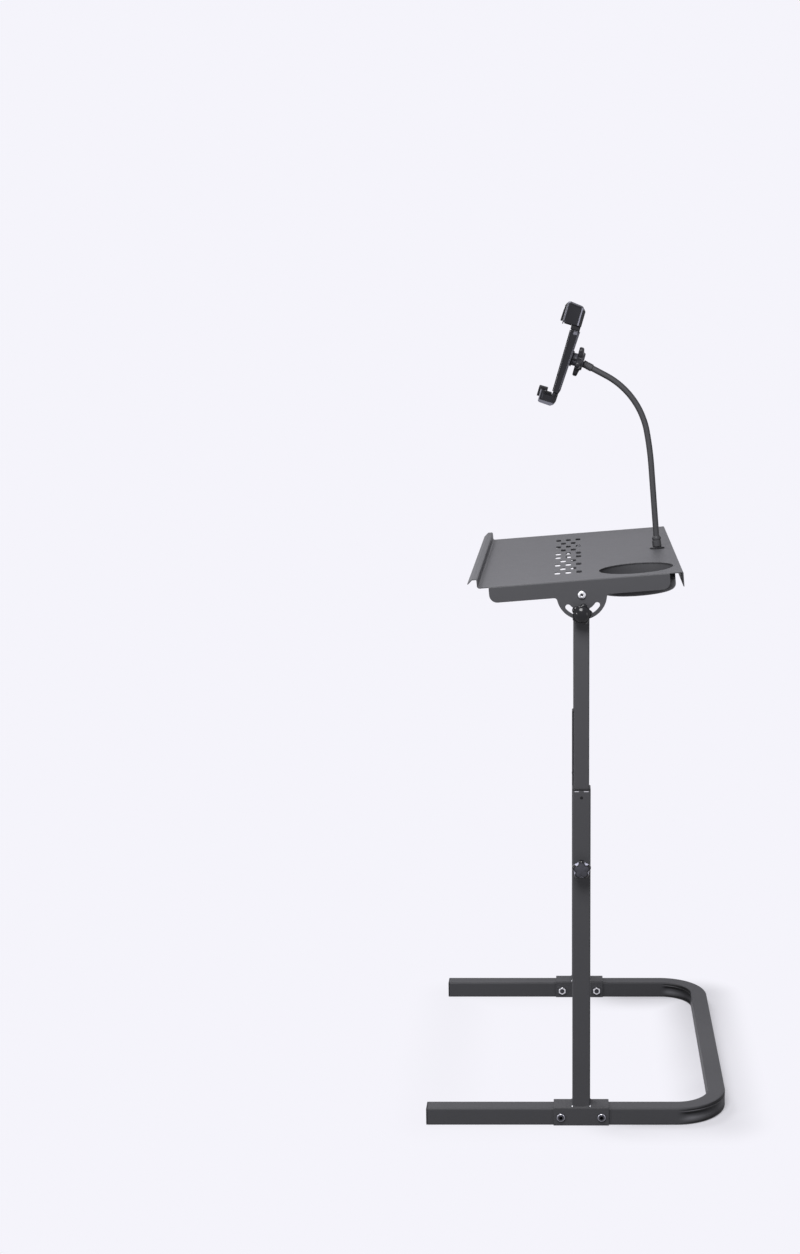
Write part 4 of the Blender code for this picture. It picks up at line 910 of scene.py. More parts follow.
@dataclass
class Fastener:
    """A bolt with a domed head and a hexagon socket, or a hexagon nut."""

    shank: float
    head: float = 0.014
    head_height: float = 0.0044
    flats: float = 0.005
    length: float = 0.03
    nut_flats: float = 0.013
    nut_height: float = 0.0065
    count: int = 48

    def bolt(self, name: str, seat: Seat) -> Skin:
        """Build a button-head bolt whose head faces the frame's Z.

        The rings run from the socket's floor up its hexagon, out over the dome
        (radius times sin a, height times 0.35 + 0.65 cos a) and down the threaded shank. Its
        finish carries painted shade in the socket, a painted highlight on the socket's rim and a
        stronger painted highlight on the dome's side.

        Args:
            name: The piece's name.
            seat: The frame at the underside of the head.

        Returns:
            The piece.
        """
        angles = full_turn(self.count)
        hexagon = hex_ring(self.flats, angles)
        high, mid, rim = self.head_height, self.head_height * 0.3, self.flats * 0.66
        head, shank = self.head / 2, self.shank / 2
        levels = [(hexagon * 0.001, mid - 0.0004), (hexagon * 0.9, mid), (hexagon, mid + 0.0001),
                  (hexagon, high - 0.0003), (rim, high - 0.0001), (rim * 1.08, high)]
        first = math.asin(min(0.9, rim * 1.12 * 2 / self.head))
        for turn in np.linspace(first, math.pi / 2, 8):
            levels.append((head * math.sin(turn), high * (0.35 + 0.65 * math.cos(turn))))
        levels += [(head, high * 0.12), (head - 0.0003, 0.0), (shank + 0.0004, 0.0), (shank, -0.0004)]
        levels += thread(shank, -self.length * 0.45, -self.length + 0.0008)
        levels += [(shank - 0.0009, -self.length), (0.0, -self.length)]
        rows = np.stack(spin(angles, *levels))
        # Painted shade in the socket, painted highlights on its rim and on the dome's side.
        deep = np.zeros(rows.shape[:2])
        deep[:4] = 1.0
        deep[5:6] = -0.6
        deep[9:15] = -1.0
        return Skin(name).grid(seat.put(rows), along=deep)

    def nut(self, name: str, seat: Seat) -> Skin:
        """Build a nut whose lower face is at the frame's origin.

        Its hexagon is trimmed at both ends by a 30 degree cone, as turned nuts are.

        Args:
            name: The piece's name.
            seat: The frame.

        Returns:
            The piece.
        """
        angles = full_turn(self.count)
        hexagon = hex_ring(self.nut_flats, angles)
        trim = (hexagon - self.nut_flats / 2) * math.tan(math.radians(30)) + 0.0002
        face, bore, high = self.nut_flats / 2 * 0.95, self.shank / 2, self.nut_height
        rings = spin(angles, (face, 0.0), (hexagon, trim), (hexagon, high - trim), (face, high),
                     (bore * 1.12, high), (bore, high - 0.0005), (bore, 0.0005), (bore * 1.12, 0.0))
        return Skin(name).grid(seat.put(rings), wrap_u=True)

    def washer(self, name: str, seat: Seat, outer: float, thick: float) -> Skin:
        """Build a flat ring with rounded rims on the frame's origin."""
        bore = self.shank / 2 + PLAN.gap
        corners = [(bore, 0, 0.0001), (outer / 2, 0, thick * 0.3), (outer / 2, thick, thick * 0.3),
            (bore, thick, 0.0001)]
        rows = turned(corners, self.count, 3, True, 0.0002)
        return Skin(name).grid(seat.put(rows), wrap_u=True)


@dataclass
class Knob:
    """A lobed clamp knob with its hub and threaded stud."""

    radius: float
    waist: float
    thickness: float
    stand: float
    stud: float
    reach: float
    lobes: int = 5
    crown: float = 0.0
    round_edge: float = 0.3
    dome: float = 0.0
    # Strengths of the painted sheen on the face and the painted highlight along the valleys.
    painted_sheen_face: float = 0.0
    painted_highlight_valley: float = 0.0

    def build(self, name: str, seat: Seat, turn: float = math.pi / 2) -> Skin:
        """Build the knob with its stud pointing against the frame's Z.

        A ring at angle a reaches waist + (radius - waist) times (0.5 + 0.5 cos(lobes a))
        to the 0.7, drawn in by the edge's quarter circles, and the face is crowned. The face
        carries a painted sheen and the edges of the valleys a painted highlight, as strong as
        their fields say.

        Args:
            name: The piece's name.
            seat: The frame at the inner end of the hub.
            turn: Angle of the first lobe.

        Returns:
            The piece.
        """
        count = self.lobes * 24
        angles = full_turn(count)
        wave = 0.5 + 0.5 * np.cos(self.lobes * angles)
        lobed = self.waist + (self.radius - self.waist) * wave ** 0.7
        low, high = self.stand, self.stand + self.thickness
        edge = self.thickness * self.round_edge
        hub = self.radius * 0.52
        stud = self.stud / 2
        levels = [(1e-5, -self.reach), (stud - 0.0009, -self.reach)]
        levels += list(thread(stud, -self.reach + 0.0008, -0.001))
        levels += [(stud, 0.0), (hub - 0.0006, 0.0), (hub, 0.0006), (hub, low)]
        for step in np.linspace(0, math.pi / 2, 6):
            levels.append((lobed - edge * (1 - math.sin(step)), low + edge * (1 - math.cos(step))))
        valley = len(levels)
        for step in np.linspace(math.pi / 2, 0, 8):
            drawn = edge * 1.25 * (1 - math.sin(step))
            levels.append((lobed - drawn, high - edge * (1 - math.cos(step)) * 0.9 - self.crown))
        last = lobed - edge * 1.25
        if self.dome:
            wide = math.acos(1 - self.crown / self.dome)
            foot = self.dome * math.sin(wide)
            levels += [(np.maximum(last * 0.94, foot + 0.0006), high - self.crown),
                       (foot + 0.0003, high - self.crown)]
            for part in np.linspace(wide, 0.06, 14):
                levels.append((self.dome * math.sin(part), high - self.dome * (1 - math.cos(part))))
        else:
            for part in (0.92, 0.75, 0.55, 0.35):
                level = high - self.crown + self.crown * (1 - part ** 2)
                share = min(1, part + 0.2)
                levels.append(((last * part) * share + last.mean() * part * (1 - share), level))
        levels.append((1e-5, high))
        rows = np.stack(spin(angles, *levels))
        # Painted sheen on the face rows and painted highlights on the valleys' edges, kept as along.
        painted_light = np.zeros(rows.shape[:2])
        painted_light[valley + 6:] = self.painted_sheen_face
        painted_light[valley - 2:valley + 4] = self.painted_highlight_valley * (wave < 0.35)
        cos, sin = math.cos(turn), math.sin(turn)
        x, y, z = np.moveaxis(rows, -1, 0)
        rows = plot(x * cos - y * sin, x * sin + y * cos, z)
        return Skin(name).grid(seat.put(rows), along=painted_light)


@dataclass
class Base:
    """The U-shaped foot: one bent square tube with end caps, saddles, bolts and nuts."""

    bend: float = 0.088
    crease: float = 0.0034
    groove: float = 0.0016
    flange: float = 0.002
    plug: float = 0.012
    bolt_pitch: float = 0.0685
    bolt_height: float = 0.016
    saddle_clear: float = 0.001
    leg_points: int = 12
    bar_points: int = 10
    bolt: Fastener = field(default_factory=lambda: Fastener(0.008, 0.014, 0.0044, 0.005, 0.0452))

    def path(self, steps: int = 40) -> tuple[Array, Array, Array]:
        """Return the tube's middle line in plan, its outward side and each point's bend angle.

        Straight legs join two quarter circles of the middle radius, and the bend angle runs
        from 0 to 90 degrees along each, or is 0 on the straights.

        Args:
            steps: Points in each bend.

        Returns:
            Points, side directions and bend angles.
        """
        half = PLAN.tube / 2
        radius = self.bend - half
        start = -PLAN.base_length / 2 + self.flange + PLAN.gap
        cx, cy = PLAN.base_length / 2 - PLAN.gap - self.bend, PLAN.rail_y - radius
        turns = np.linspace(0, math.pi / 2, steps)
        near = plot(cx + radius * np.sin(turns), -cy - radius * np.cos(turns))
        far = plot(cx + radius * np.cos(turns), cy + radius * np.sin(turns))
        legs = np.linspace(start, cx - 0.002, self.leg_points)
        leg = plot(legs, -PLAN.rail_y)
        cross = np.linspace(-cy + 0.002, cy - 0.002, self.bar_points)
        bar = plot(cx + radius, cross)
        points = np.concatenate([leg, near, bar, far, leg[::-1] * [1, -1]])
        right, ahead = np.zeros_like(leg) + [0.0, 1.0], np.zeros_like(bar) + [1.0, 0.0]
        sides = np.concatenate([-right, plot(np.sin(turns), -np.cos(turns)), ahead, unit(turns), right])
        flat, level = np.zeros_like(legs), np.zeros_like(cross)
        bends = np.concatenate([flat, turns, level, turns[::-1], flat])
        return points, sides, bends

    def tube(self) -> Skin:
        """Build the bent tube, creased in its bends, hollow and open at both ends.

        Up the wall w runs from -1 to 1. In a bend the outer and inner walls move towards the
        tube's middle by crease times (1 - t squared) to the 0.8, t being (w - 0.3) / 0.38 above
        w = 0.3 and (w - 0.3) / 1.2 below it, and by a fine groove at w = 0.88. Both fade in
        over the first and last 0.3 radians. The side walls' finish carries painted shade in the
        crease, along the groove, at the foot of the wall and further round each bend, and painted
        highlights on the ridge under the groove and on the wall's lower half.

        Returns:
            The piece.
        """
        points, sides, bends = self.path()
        half = PLAN.tube / 2
        rise = np.clip(np.minimum(bends, math.pi / 2 - bends) / 0.3, 0, 1)
        fade = (rise ** 2 * (3 - 2 * rise))[:, None]
        rows, painted_light = [], []
        for wall in (0.0, PLAN.tube_wall):
            ring = self._section(half - wall, max(PLAN.tube_corner - wall, 0.0012))
            across, height = ring[None, :, 0], ring[None, :, 1]
            w = np.clip(height / (half - PLAN.tube_corner), -1, 1)
            bowl = np.clip(1 - ((w - 0.3) / np.where(w > 0.3, 0.38, 1.2)) ** 2, 0, 1) ** 0.8
            depth = fade * (self.crease * bowl + self.groove * np.exp(-((w - 0.88) / 0.09) ** 2))
            weight = np.clip((np.abs(across) - half * 0.55) / (half * 0.3), 0, 1)
            shifted = across - np.sign(across) * depth * weight
            spot = points[:, None, :] + sides[:, None, :] * shifted[..., None]
            rows.append(plot(spot[..., 0], spot[..., 1], height + half))
            # Painted shade and painted highlights for the side walls in the bends, kept as along.
            bent = np.clip((bends - 0.35) / 0.6, 0, 1)[:, None]
            painted_shade = (1.5 * np.exp(-((w - 0.44) / 0.22) ** 2) + 1.5 * np.exp(-((w - 0.90) / 0.08) ** 2)
                + 0.8 * np.exp(-((w + 0.92) / 0.16) ** 2) + 0.8 * bent)
            pale = np.exp(-((w - 0.74) / 0.06) ** 2) + 0.9 * np.exp(-((w + 0.36) / 0.26) ** 2)
            pale = pale * (1 - 0.6 * bent)
            painted_light.append(fade * (painted_shade - pale) * (np.abs(across) > half - 0.001))
        outer, inner = rows
        along = np.concatenate([painted_light[0], painted_light[1][::-1]])
        return Skin("base_tube_skin").grid(np.concatenate([outer, inner[::-1]]), wrap_u=True, along=along)

    def _section(self, half: float, corner: float) -> Array:
        """Return the tube's section with extra points across its upright walls."""
        rim = half - corner
        levels = np.linspace(-rim, rim, 37)
        turns = np.linspace(0, math.pi / 2, 6)
        arc = unit(turns) * corner
        right = plot(half, levels)
        left = plot(-half, levels[::-1])
        top = np.array([[rim - 0.0008, half], [-rim + 0.0008, half]])
        return np.concatenate([right, arc + [rim, rim], top, arc[::-1] * [-1, 1] + [-rim, rim], left, arc
            * [-1, -1] + [-rim, -rim], -top, arc[::-1] * [1, -1] + [rim, -rim]])

    def end_cap(self, side: Side) -> Skin:
        """Build the plastic cap of one open end, with its plug inside the tube."""
        seat = Seat((-PLAN.base_length / 2, side.value * PLAN.rail_y, PLAN.tube / 2), (0, 1, 0), (1, 0, 0))
        outer = square(PLAN.tube, PLAN.tube_corner)
        plug = square(PLAN.tube_bore - 0.0005, 0.0015)
        foot = self.flange + self.plug
        rings = outer.rings((0.0044, 0.0005), (0.0036, 0.0005), (0.0030, 0.0), (0.0012, 0.0),
                            (0.0004, 0.0002), (0, 0.0009), (0, self.flange))
        rings += plug.rings((0, self.flange), (0, foot - 0.001), (0.0008, foot))
        return Skin("base_cap_" + side.label).solid(seat.put(rings))

    def saddle(self, side: Side) -> Skin:
        """Build the folded saddle: a U outline in thick plate, carried along the rail."""
        out = PLAN.tube / 2 + PLAN.gap + PLAN.bracket_plate
        into = out - PLAN.bracket_plate
        top, under = PLAN.bracket_top, PLAN.bracket_top - PLAN.bracket_plate
        low = self.saddle_clear
        outline = Outline(((out, low, 0.0003), (out, top, 0.0028), (-out, top, 0.0028),
            (-out, low, 0.0003), (-into, low, 0.0003), (-into, under, 0.0015), (into, under, 0.0015),
            (into, low, 0.0003)), 6, 0.0006)
        seat = Seat((PLAN.post_x - PLAN.bracket_length / 2, side.value * PLAN.rail_y, 0), (0, 1, 0),
            (1, 0, 0))
        rows = outline.prism(0, PLAN.bracket_length, 0.0005, 3)
        return Skin("saddle_" + side.label).solid(seat.put(rows))

    def weld(self, side: Side) -> Skin:
        """Build the weld bead round the sleeve's foot.

        The bead is a quarter round whose radius ripples with the place along the outline and
        swells at the corners, where the fillet was run.

        Returns:
            The piece.
        """
        outline = square(PLAN.tube, PLAN.tube_corner, 8).at()
        wide = np.concatenate([np.linspace(outline[i], outline[(i + 1) % len(outline)], 14,
            endpoint=False) if np.linalg.norm(outline[(i + 1) % len(outline)] - outline[i]) > 0.01
            else outline[i:i + 1] for i in range(len(outline))])
        corner = np.minimum(1, np.minimum(np.abs(wide[:, 0]), np.abs(wide[:, 1])) / 0.0125)
        place = np.arange(len(wide))
        size = 0.0007 + 0.0017 * corner ** 2 * (0.85 + 0.15 * np.cos(place * 1.9))
        normal = inset(wide, -1.0) - wide
        rings = []
        for turn in np.linspace(0, math.pi / 2, 6):
            spot = wide + normal * (size * math.cos(turn))[:, None]
            rings.append(lift(spot, PLAN.bracket_top + size * math.sin(turn)))
        rings.append(lift(inset(wide, 0.0006), PLAN.bracket_top + size))
        rings.append(lift(inset(wide, 0.0006), PLAN.bracket_top))
        return Skin("weld_" + side.label).grid(side.seat.put(rings), wrap_u=True)

    def tacks(self, side: Side) -> Skin:
        """Build the four bare tack welds at the corners of the sleeve's foot."""
        skin = Skin("tacks_" + side.label)
        turns = np.linspace(0, math.pi / 2, 7)
        profile = [(0.0017 * math.sin(turn), 0.0021 * math.cos(turn)) for turn in turns]
        profile += [(0.0017, -0.0004), (0.0, -0.0004)]
        reach = PLAN.tube / 2 - 0.0003
        for across in (-reach, reach):
            for deep in (-reach, reach):
                seat = Seat((PLAN.post_x + across, side.value * PLAN.rail_y + deep, PLAN.bracket_top))
                skin.grid(seat.put(lathe(profile, 20)))
        return skin

    def build(self) -> Iterator[Piece]:
        """Build and dress the whole base."""
        yield self.tube().finish(Slot.POWDER, "base", ["base_tube"])
        out = PLAN.tube / 2 + PLAN.gap + PLAN.bracket_plate + PLAN.gap
        for side in Side:
            name = side.label
            yield self.end_cap(side).finish(Slot.PLASTIC, "base", ["base_end_cap_" + name])
            yield self.saddle(side).finish(Slot.POWDER, "base", ["saddle_bracket_" + name])
            yield self.weld(side).finish(Slot.POWDER, "base", (), 60)
            yield self.tacks(side).finish(Slot.ZINC, "base", (), 60)
            for index, end in enumerate((-1, 1), 1):
                x = PLAN.post_x + end * self.bolt_pitch / 2
                seat = outward(side, x, out, self.bolt_height)
                inner = outward(side, x, -out, self.bolt_height, -1)
                label = "_%s_%d" % (name, index)
                yield self.bolt.bolt("rail_bolt" + label, seat).finish(Slot.BOLT, "base",
                    ["saddle_bolt" + label])
                yield self.bolt.nut("rail_nut" + label, inner).finish(Slot.ZINC, "base",
                    ["saddle_nut" + label])


@dataclass
class Sleeves:
    """The two outer sleeves with their bushes, bosses and height knobs."""

    bush_flange: float = 0.0022
    nub: float = 0.0054
    nub_drop: float = 0.012
    boss: float = 0.016
    boss_length: float = 0.007
    knob_radius: float = 0.016
    knob_thickness: float = 0.013

    def sleeve(self, side: Side) -> Skin:
        """Build the square tube, hollow along its whole length."""
        outer = square(PLAN.tube, PLAN.tube_corner)
        inner = square(PLAN.tube_bore, PLAN.tube_corner - PLAN.tube_wall)
        rows = pipe(outer, inner, PLAN.bracket_top + PLAN.gap, PLAN.sleeve_top)
        return Skin("sleeve_tube_" + side.label).grid(side.seat.put(rows), wrap_u=True)

    def bush(self, side: Side) -> Skin:
        """Build the guide bush: a flange on the sleeve's top and a skirt inside it."""
        flange = square(PLAN.tube, PLAN.tube_corner)
        skirt = square(PLAN.tube_bore - 0.0005, 0.0013)
        bore = square(PLAN.post + 0.0005, PLAN.post_corner)
        low = PLAN.sleeve_top + PLAN.gap
        high = low + self.bush_flange
        foot = PLAN.sleeve_top - 0.020
        rings = bore.rings((0, high - 0.0006), (-0.0005, high))
        rings += flange.rings((0.0009, high), (0.0003, high - 0.0003), (0, high - 0.0008),
                              (0, low + 0.0003), (0.0003, low))
        rings += skirt.rings((0, low), (0, foot)) + bore.rings((0, foot))
        skin = Skin("bush_" + side.label).grid(side.seat.put(rings), wrap_u=True)
        nub = turned([(0, PLAN.tube / 2 + PLAN.gap, 0), (self.nub / 2, PLAN.tube / 2 + PLAN.gap, 0.0005),
            (self.nub / 2, PLAN.post / 2 + 0.0008, 0), (0, PLAN.post / 2 + 0.0008, 0)], 24)
        button = outward(side, PLAN.post_x, 0.0, PLAN.sleeve_top - self.nub_drop)
        return skin.grid(button.put(nub))

    def bare_edges(self, side: Side) -> Skin:
        """Build the two bare strips of the sleeve's cut edge, left and right of its middle."""
        skin = Skin("bare_edges_" + side.label)
        seat = outward(side, PLAN.post_x, PLAN.tube / 2, PLAN.sleeve_top - 0.0014)
        for start, end in ((-0.0118, -0.0040), (0.0034, 0.0118)):
            strip = Outline(((start, -0.0007, 0.0003), (end, -0.0007, 0.0003), (end, 0.0007, 0.0003),
                (start, 0.0007, 0.0003)))
            skin.solid(seat.put(strip.prism(-0.0004, 0.0001, 0.00005, 1)))
        return skin

    def boss_ring(self, side: Side) -> Skin:
        """Build the welded boss that the height knob's stud screws through."""
        seat = outward(side, PLAN.post_x, PLAN.tube / 2 + PLAN.gap, PLAN.clamp_height)
        radius, bore = self.boss / 2, PLAN.stud / 2 + PLAN.gap
        corners = [(bore, 0, 0), (radius, 0, 0.0006), (radius, self.boss_length, 0.0008),
            (bore, self.boss_length, 0.0003)]
        return Skin("boss_" + side.label).grid(seat.put(turned(corners, 48, 4, True)), wrap_u=True)

    def build(self) -> Iterator[Piece]:
        """Build and dress both sleeves and their knobs."""
        start = PLAN.tube / 2 + PLAN.gap + self.boss_length + PLAN.gap
        # The height knobs get a painted sheen on the face and painted highlights along the valleys.
        knob = Knob(self.knob_radius, self.knob_radius * 0.78, self.knob_thickness, 0.003, PLAN.stud,
            start - PLAN.post / 2 - PLAN.gap, crown=0.0012, round_edge=0.36, painted_sheen_face=0.10,
            painted_highlight_valley=1.0)
        for side in Side:
            name = side.label
            yield self.sleeve(side).finish(Slot.POWDER, "base", ["sleeve_" + name])
            yield self.bush(side).finish(Slot.PLASTIC, "base", ["sleeve_bush_" + name])
            yield self.bare_edges(side).finish(Slot.ZINC, "base")
            yield self.boss_ring(side).finish(Slot.POWDER, "base", ["knob_boss_" + name])
            seat = outward(side, PLAN.post_x, start, PLAN.clamp_height)
            yield knob.build("height_clamp_" + name, seat).finish(Slot.GLOSS, "height_knob_" + name,
                ["height_knob_" + name], 50)


@dataclass
class Posts:
    """The two sliding posts with their caps, pivots and tilt clamps."""

    wall: float = 0.0015
    cap: float = 0.002
    pivot_bolt: Fastener = field(default_factory=lambda: Fastener(0.006, 0.013, 0.0035, 0.004, 0.0372,
        0.010, 0.005))
    tilt_nut: Fastener = field(default_factory=lambda: Fastener(0.008))
    knob_radius: float = 0.0175
    knob_thickness: float = 0.015
    washer: float = 0.018
    spacer: float = 0.003
    ring: float = 0.0015

    @property
    def top(self) -> float:
        """Height of the tube's upper end."""
        return PLAN.pivot_height + PLAN.post_above - self.cap - PLAN.gap

    def post(self, side: Side) -> Skin:
        """Build the inner square tube."""
        outer = square(PLAN.post, PLAN.post_corner)
        inner = square(PLAN.post - 2 * self.wall, PLAN.post_corner - self.wall)
        rows = pipe(outer, inner, self.top - PLAN.post_length, self.top)
        return Skin("post_tube_" + side.label).grid(side.seat.put(rows), wrap_u=True)

    def end_cap(self, side: Side) -> Skin:
        """Build the plastic cap of the post, slightly crowned."""
        outer = square(PLAN.post, PLAN.post_corner)
        plug = square(PLAN.post - 2 * self.wall - 0.0005, 0.001)
        low = self.top + PLAN.gap
        rings = plug.rings((0.0005, self.top - 0.0035), (0, self.top - 0.003), (0, low))
        rings += outer.rings((0, low), (0, low + self.cap * 0.45), (0.0004, low + self.cap * 0.8),
                             (0.0010, low + self.cap * 0.95), (0.0022, low + self.cap))
        return Skin("post_end_" + side.label).solid(side.seat.put(rings))

    def build(self) -> Iterator[Piece]:
        """Build and dress both posts, their pivots and their tilt clamps."""
        face, ear, gap = PLAN.post / 2, PLAN.ear_outer, PLAN.gap
        start = ear + self.ring + 2 * gap
        nut_face = face - self.wall - gap
        knob = Knob(self.knob_radius, self.knob_radius * 0.74, self.knob_thickness, 0.003, PLAN.stud,
            start - (nut_face - Fastener.nut_height - 0.002), crown=0.0065, round_edge=0.26, dome=0.0170)
        low = PLAN.pivot_height - PLAN.tilt_radius
        for side in Side:
            name = side.label
            yield self.post(side).finish(Slot.POWDER, "carriage", ["inner_post_" + name])
            yield self.end_cap(side).finish(Slot.PLASTIC, "carriage", ["post_cap_" + name])
            head = outward(side, PLAN.post_x, ear + gap, PLAN.pivot_height)
            yield self.pivot_bolt.bolt("pivot_pin_" + name, head).finish(Slot.ZINC, "carriage",
                ["pivot_bolt_" + name])
            inner = outward(side, PLAN.post_x, -face - gap, PLAN.pivot_height, -1)
            yield self.pivot_bolt.nut("pivot_lock_" + name, inner).finish(Slot.ZINC, "carriage",
                ["pivot_nut_" + name])
            seat = outward(side, PLAN.post_x, face + gap, PLAN.pivot_height)
            spacer = self.pivot_bolt.washer("pivot_spacer_" + name, seat, self.washer, self.spacer)
            yield spacer.finish(Slot.PLASTIC, "carriage", ["pivot_washer_" + name])
            seat = outward(side, PLAN.post_x, ear + gap, low)
            ring = self.tilt_nut.washer("tilt_ring_" + name, seat, self.washer, self.ring)
            yield ring.finish(Slot.ZINC, "carriage", ["tilt_washer_" + name])
            seat = outward(side, PLAN.post_x, nut_face, low, -1)
            yield self.tilt_nut.nut("tilt_lock_" + name, seat).finish(Slot.ZINC, "carriage",
                ["tilt_nut_" + name])
            seat = outward(side, PLAN.post_x, start, low)
            clamp = knob.build("tilt_clamp_" + name, seat, 0.06)
            yield clamp.finish(Slot.GLOSS, "tilt_knob_" + name, ["tilt_knob_" + name], 60)


@dataclass
class Tray:
    """The folded tray with its lip, rear fold, flanges, vents and cup well."""

    lip_rise: float = 0.0143
    lip_out: float = 0.009
    lip_hook: float = 0.0077
    lip_drop: float = 0.0068
    fold: float = 0.0237
    bend: float = 0.002
    flange_left: float = PLAN.tray_length / 2 - 0.017
    flange_right: float = PLAN.tray_length / 2 - 0.022
    flange_depth: float = 0.026
    flange_corner: float = 0.013
    ear: float = 0.0405
    ear_fillet: float = 0.005
    slot_angle: float = math.radians(52)
    pivot_hole: float = 0.0066
    vent_length: float = 0.028
    vent_width: float = 0.009
    vent_pitch_x: float = 0.018
    vent_pitch_y: float = 0.048
    vent_rows: int = 10
    vent_x: float = -0.020
    cup_hole: float = 0.1224
    cup_x: float = PLAN.tray_length / 2 - 0.073
    cup_side: float = 0.0881
    cup_depth: float = 0.038
    cup_wall: float = 0.0012
    cup_rim: float = 0.0045
    cup_corner: float = 0.008

    @property
    def cup_y(self) -> float:
        """Place of the cup well across the tray."""
        return self.cup_side - PLAN.tray_half

    def section(self) -> Array:
        """Return the sheet's outer skin in section, from the lip's hook to the rear fold."""
        half = PLAN.tray_length / 2
        crest = PLAN.rise + self.lip_rise
        corners = [(-half - self.lip_out - self.lip_hook, crest - self.lip_drop, 0),
            (-half - self.lip_out, crest, 0.0022), (-half, crest, 0.0024), (-half, PLAN.rise, 0.003),
            (half, PLAN.rise, self.bend), (half, PLAN.rise - self.fold, 0)]
        return fillet(corners, 6, closed=False)

    def flange_outline(self, top: float) -> Array:
        """Return a side flange's outline with its round ear about the pivot.

        Quarter circles round the lower corners, an arc about the pivot makes the ear, and
        fillets tangent to both the lower edge and the ear join them.

        Args:
            top: Height of the bend line.

        Returns:
            The outline, n by 2, from the right end of the bend line to its left end.
        """
        low = PLAN.rise - self.flange_depth
        corner, fillet_radius = self.flange_corner, self.ear_fillet
        spread = math.sqrt((self.ear + fillet_radius) ** 2 - (low - fillet_radius) ** 2)
        lean = math.atan2(low - fillet_radius, spread)
        right = arc_about(self.flange_right - corner, low + corner, corner,
            np.linspace(0, -math.pi / 2, 12))
        neck = arc_about(spread, low - fillet_radius, fillet_radius,
            np.linspace(math.pi / 2, math.pi + lean, 7))
        ear = self.ear * unit(np.linspace(lean, -math.pi - lean, 48)[1:-1])
        left = arc_about(-self.flange_left + corner, low + corner, corner,
            np.linspace(-math.pi / 2, -math.pi, 12))
        return np.concatenate([[[self.flange_right, top]], right, neck, ear, neck[::-1] * [-1, 1], left,
            [[-self.flange_left, top]]])

    def slot_outline(self) -> Array:
        """Return the curved slot about the pivot: two arcs joined by half circles."""
        half = PLAN.stud / 2 + 0.0004
        sweep = np.linspace(-self.slot_angle, self.slot_angle, 40) - math.pi / 2
        outer = (PLAN.tilt_radius + half) * unit(sweep)
        inner = (PLAN.tilt_radius - half) * unit(sweep)
        ends = []
        for end, start in ((sweep[-1], sweep[-1]), (sweep[0], sweep[0] + math.pi)):
            turn = start + np.linspace(0, math.pi, 10)[1:-1]
            middle = PLAN.tilt_radius * np.array([math.cos(end), math.sin(end)])
            ends.append(middle + half * unit(turn))
        return np.concatenate([outer, ends[0], inner[::-1], ends[1]])

    def vent_outlines(self) -> list[Array]:
        """Return the vent slots: rows across the tray of three and two by turns."""
        half, reach, corner = self.vent_width / 2, self.vent_length / 2, self.vent_width * 0.49
        slot = Outline(((half, -reach, corner), (half, reach, corner), (-half, reach, corner),
            (-half, -reach, corner)), 7, 0.0).at()
        made = []
        for row in range(self.vent_rows):
            count = 3 - min(row, self.vent_rows - 1 - row) % 2
            y = (row - (self.vent_rows - 1) / 2) * self.vent_pitch_y
            for column in range(count):
                x = self.vent_x + (column - (count - 1) / 2) * self.vent_pitch_x
                made.append(slot + [x, y])
        return made

    def circle(self, radius: float, x: float, y: float, count: int = 96) -> Array:
        """Return a circle's points."""
        return arc_about(x, y, radius, full_turn(count))

    def sheet(self) -> Piece:
        """Build the folded sheet from flat faces with holes, joined by rounded bends.

        The bend lines carry the section's arcs along the tray, and quarter circles of the
        bend radius join the top to each flange.

        Returns:
            The dressed object.
        """
        skin = Skin("tray_sheet")
        section = self.section()
        level = np.flatnonzero(np.abs(section[:, 1] - PLAN.rise) < 1e-7)
        first, last = int(level[0]), int(level[-1])
        shoulder = PLAN.tray_half - self.bend
        x_low, x_high = section[first, 0], section[last, 0]
        outer = np.array([(x_low, -shoulder), (-self.flange_left, -shoulder),
            (self.flange_right, -shoulder), (x_high, -shoulder), (x_high, shoulder),
            (self.flange_right, shoulder), (-self.flange_left, shoulder), (x_low, shoulder)])
        holes = [self.circle(self.cup_hole / 2, self.cup_x, self.cup_y),
            self.circle(PLAN.stud / 2 + PLAN.gap, PLAN.neck_x, 0, 32)]
        flat_face(skin, [outer] + holes + self.vent_outlines(),
            lambda spots: TRAY_SEAT.put(lift(spots, PLAN.rise)))
        for run in (section[:first + 1], section[last:]):
            rows = plot(run[:, :1], [-shoulder, shoulder], run[:, 1:])
            skin.grid(TRAY_SEAT.put(rows), wrap_v=False)
        turns = np.linspace(0, math.pi / 2, 7)
        ends = np.array([-self.flange_left, self.flange_right])
        for side in Side:
            y = side.value * (shoulder + self.bend * np.sin(turns))
            z = PLAN.rise - self.bend + self.bend * np.cos(turns)
            rows = plot(ends, y[:, None], z[:, None])
            skin.grid(TRAY_SEAT.put(rows), wrap_v=False)
            outline = self.flange_outline(PLAN.rise - self.bend)
            flat_face(skin, [outline, self.slot_outline(), self.circle(self.pivot_hole / 2, 0, 0, 32)],
                lambda spots, y=side.value * PLAN.tray_half:
                TRAY_SEAT.put(plot(spots[:, 0], y, spots[:, 1])))
        mesh = skin.mesh(1e-5)
        upward = max(mesh.polygons, key=lambda face: face.area).normal
        if upward.z < 0:
            mesh.flip_normals()
        made = skin.finish(Slot.TRAY, None)
        thicken(made, PLAN.sheet)
        soften(made, 0.00035, 2, 50)
        settle(made)
        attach(made, "tray")
        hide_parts("tray")
        return made

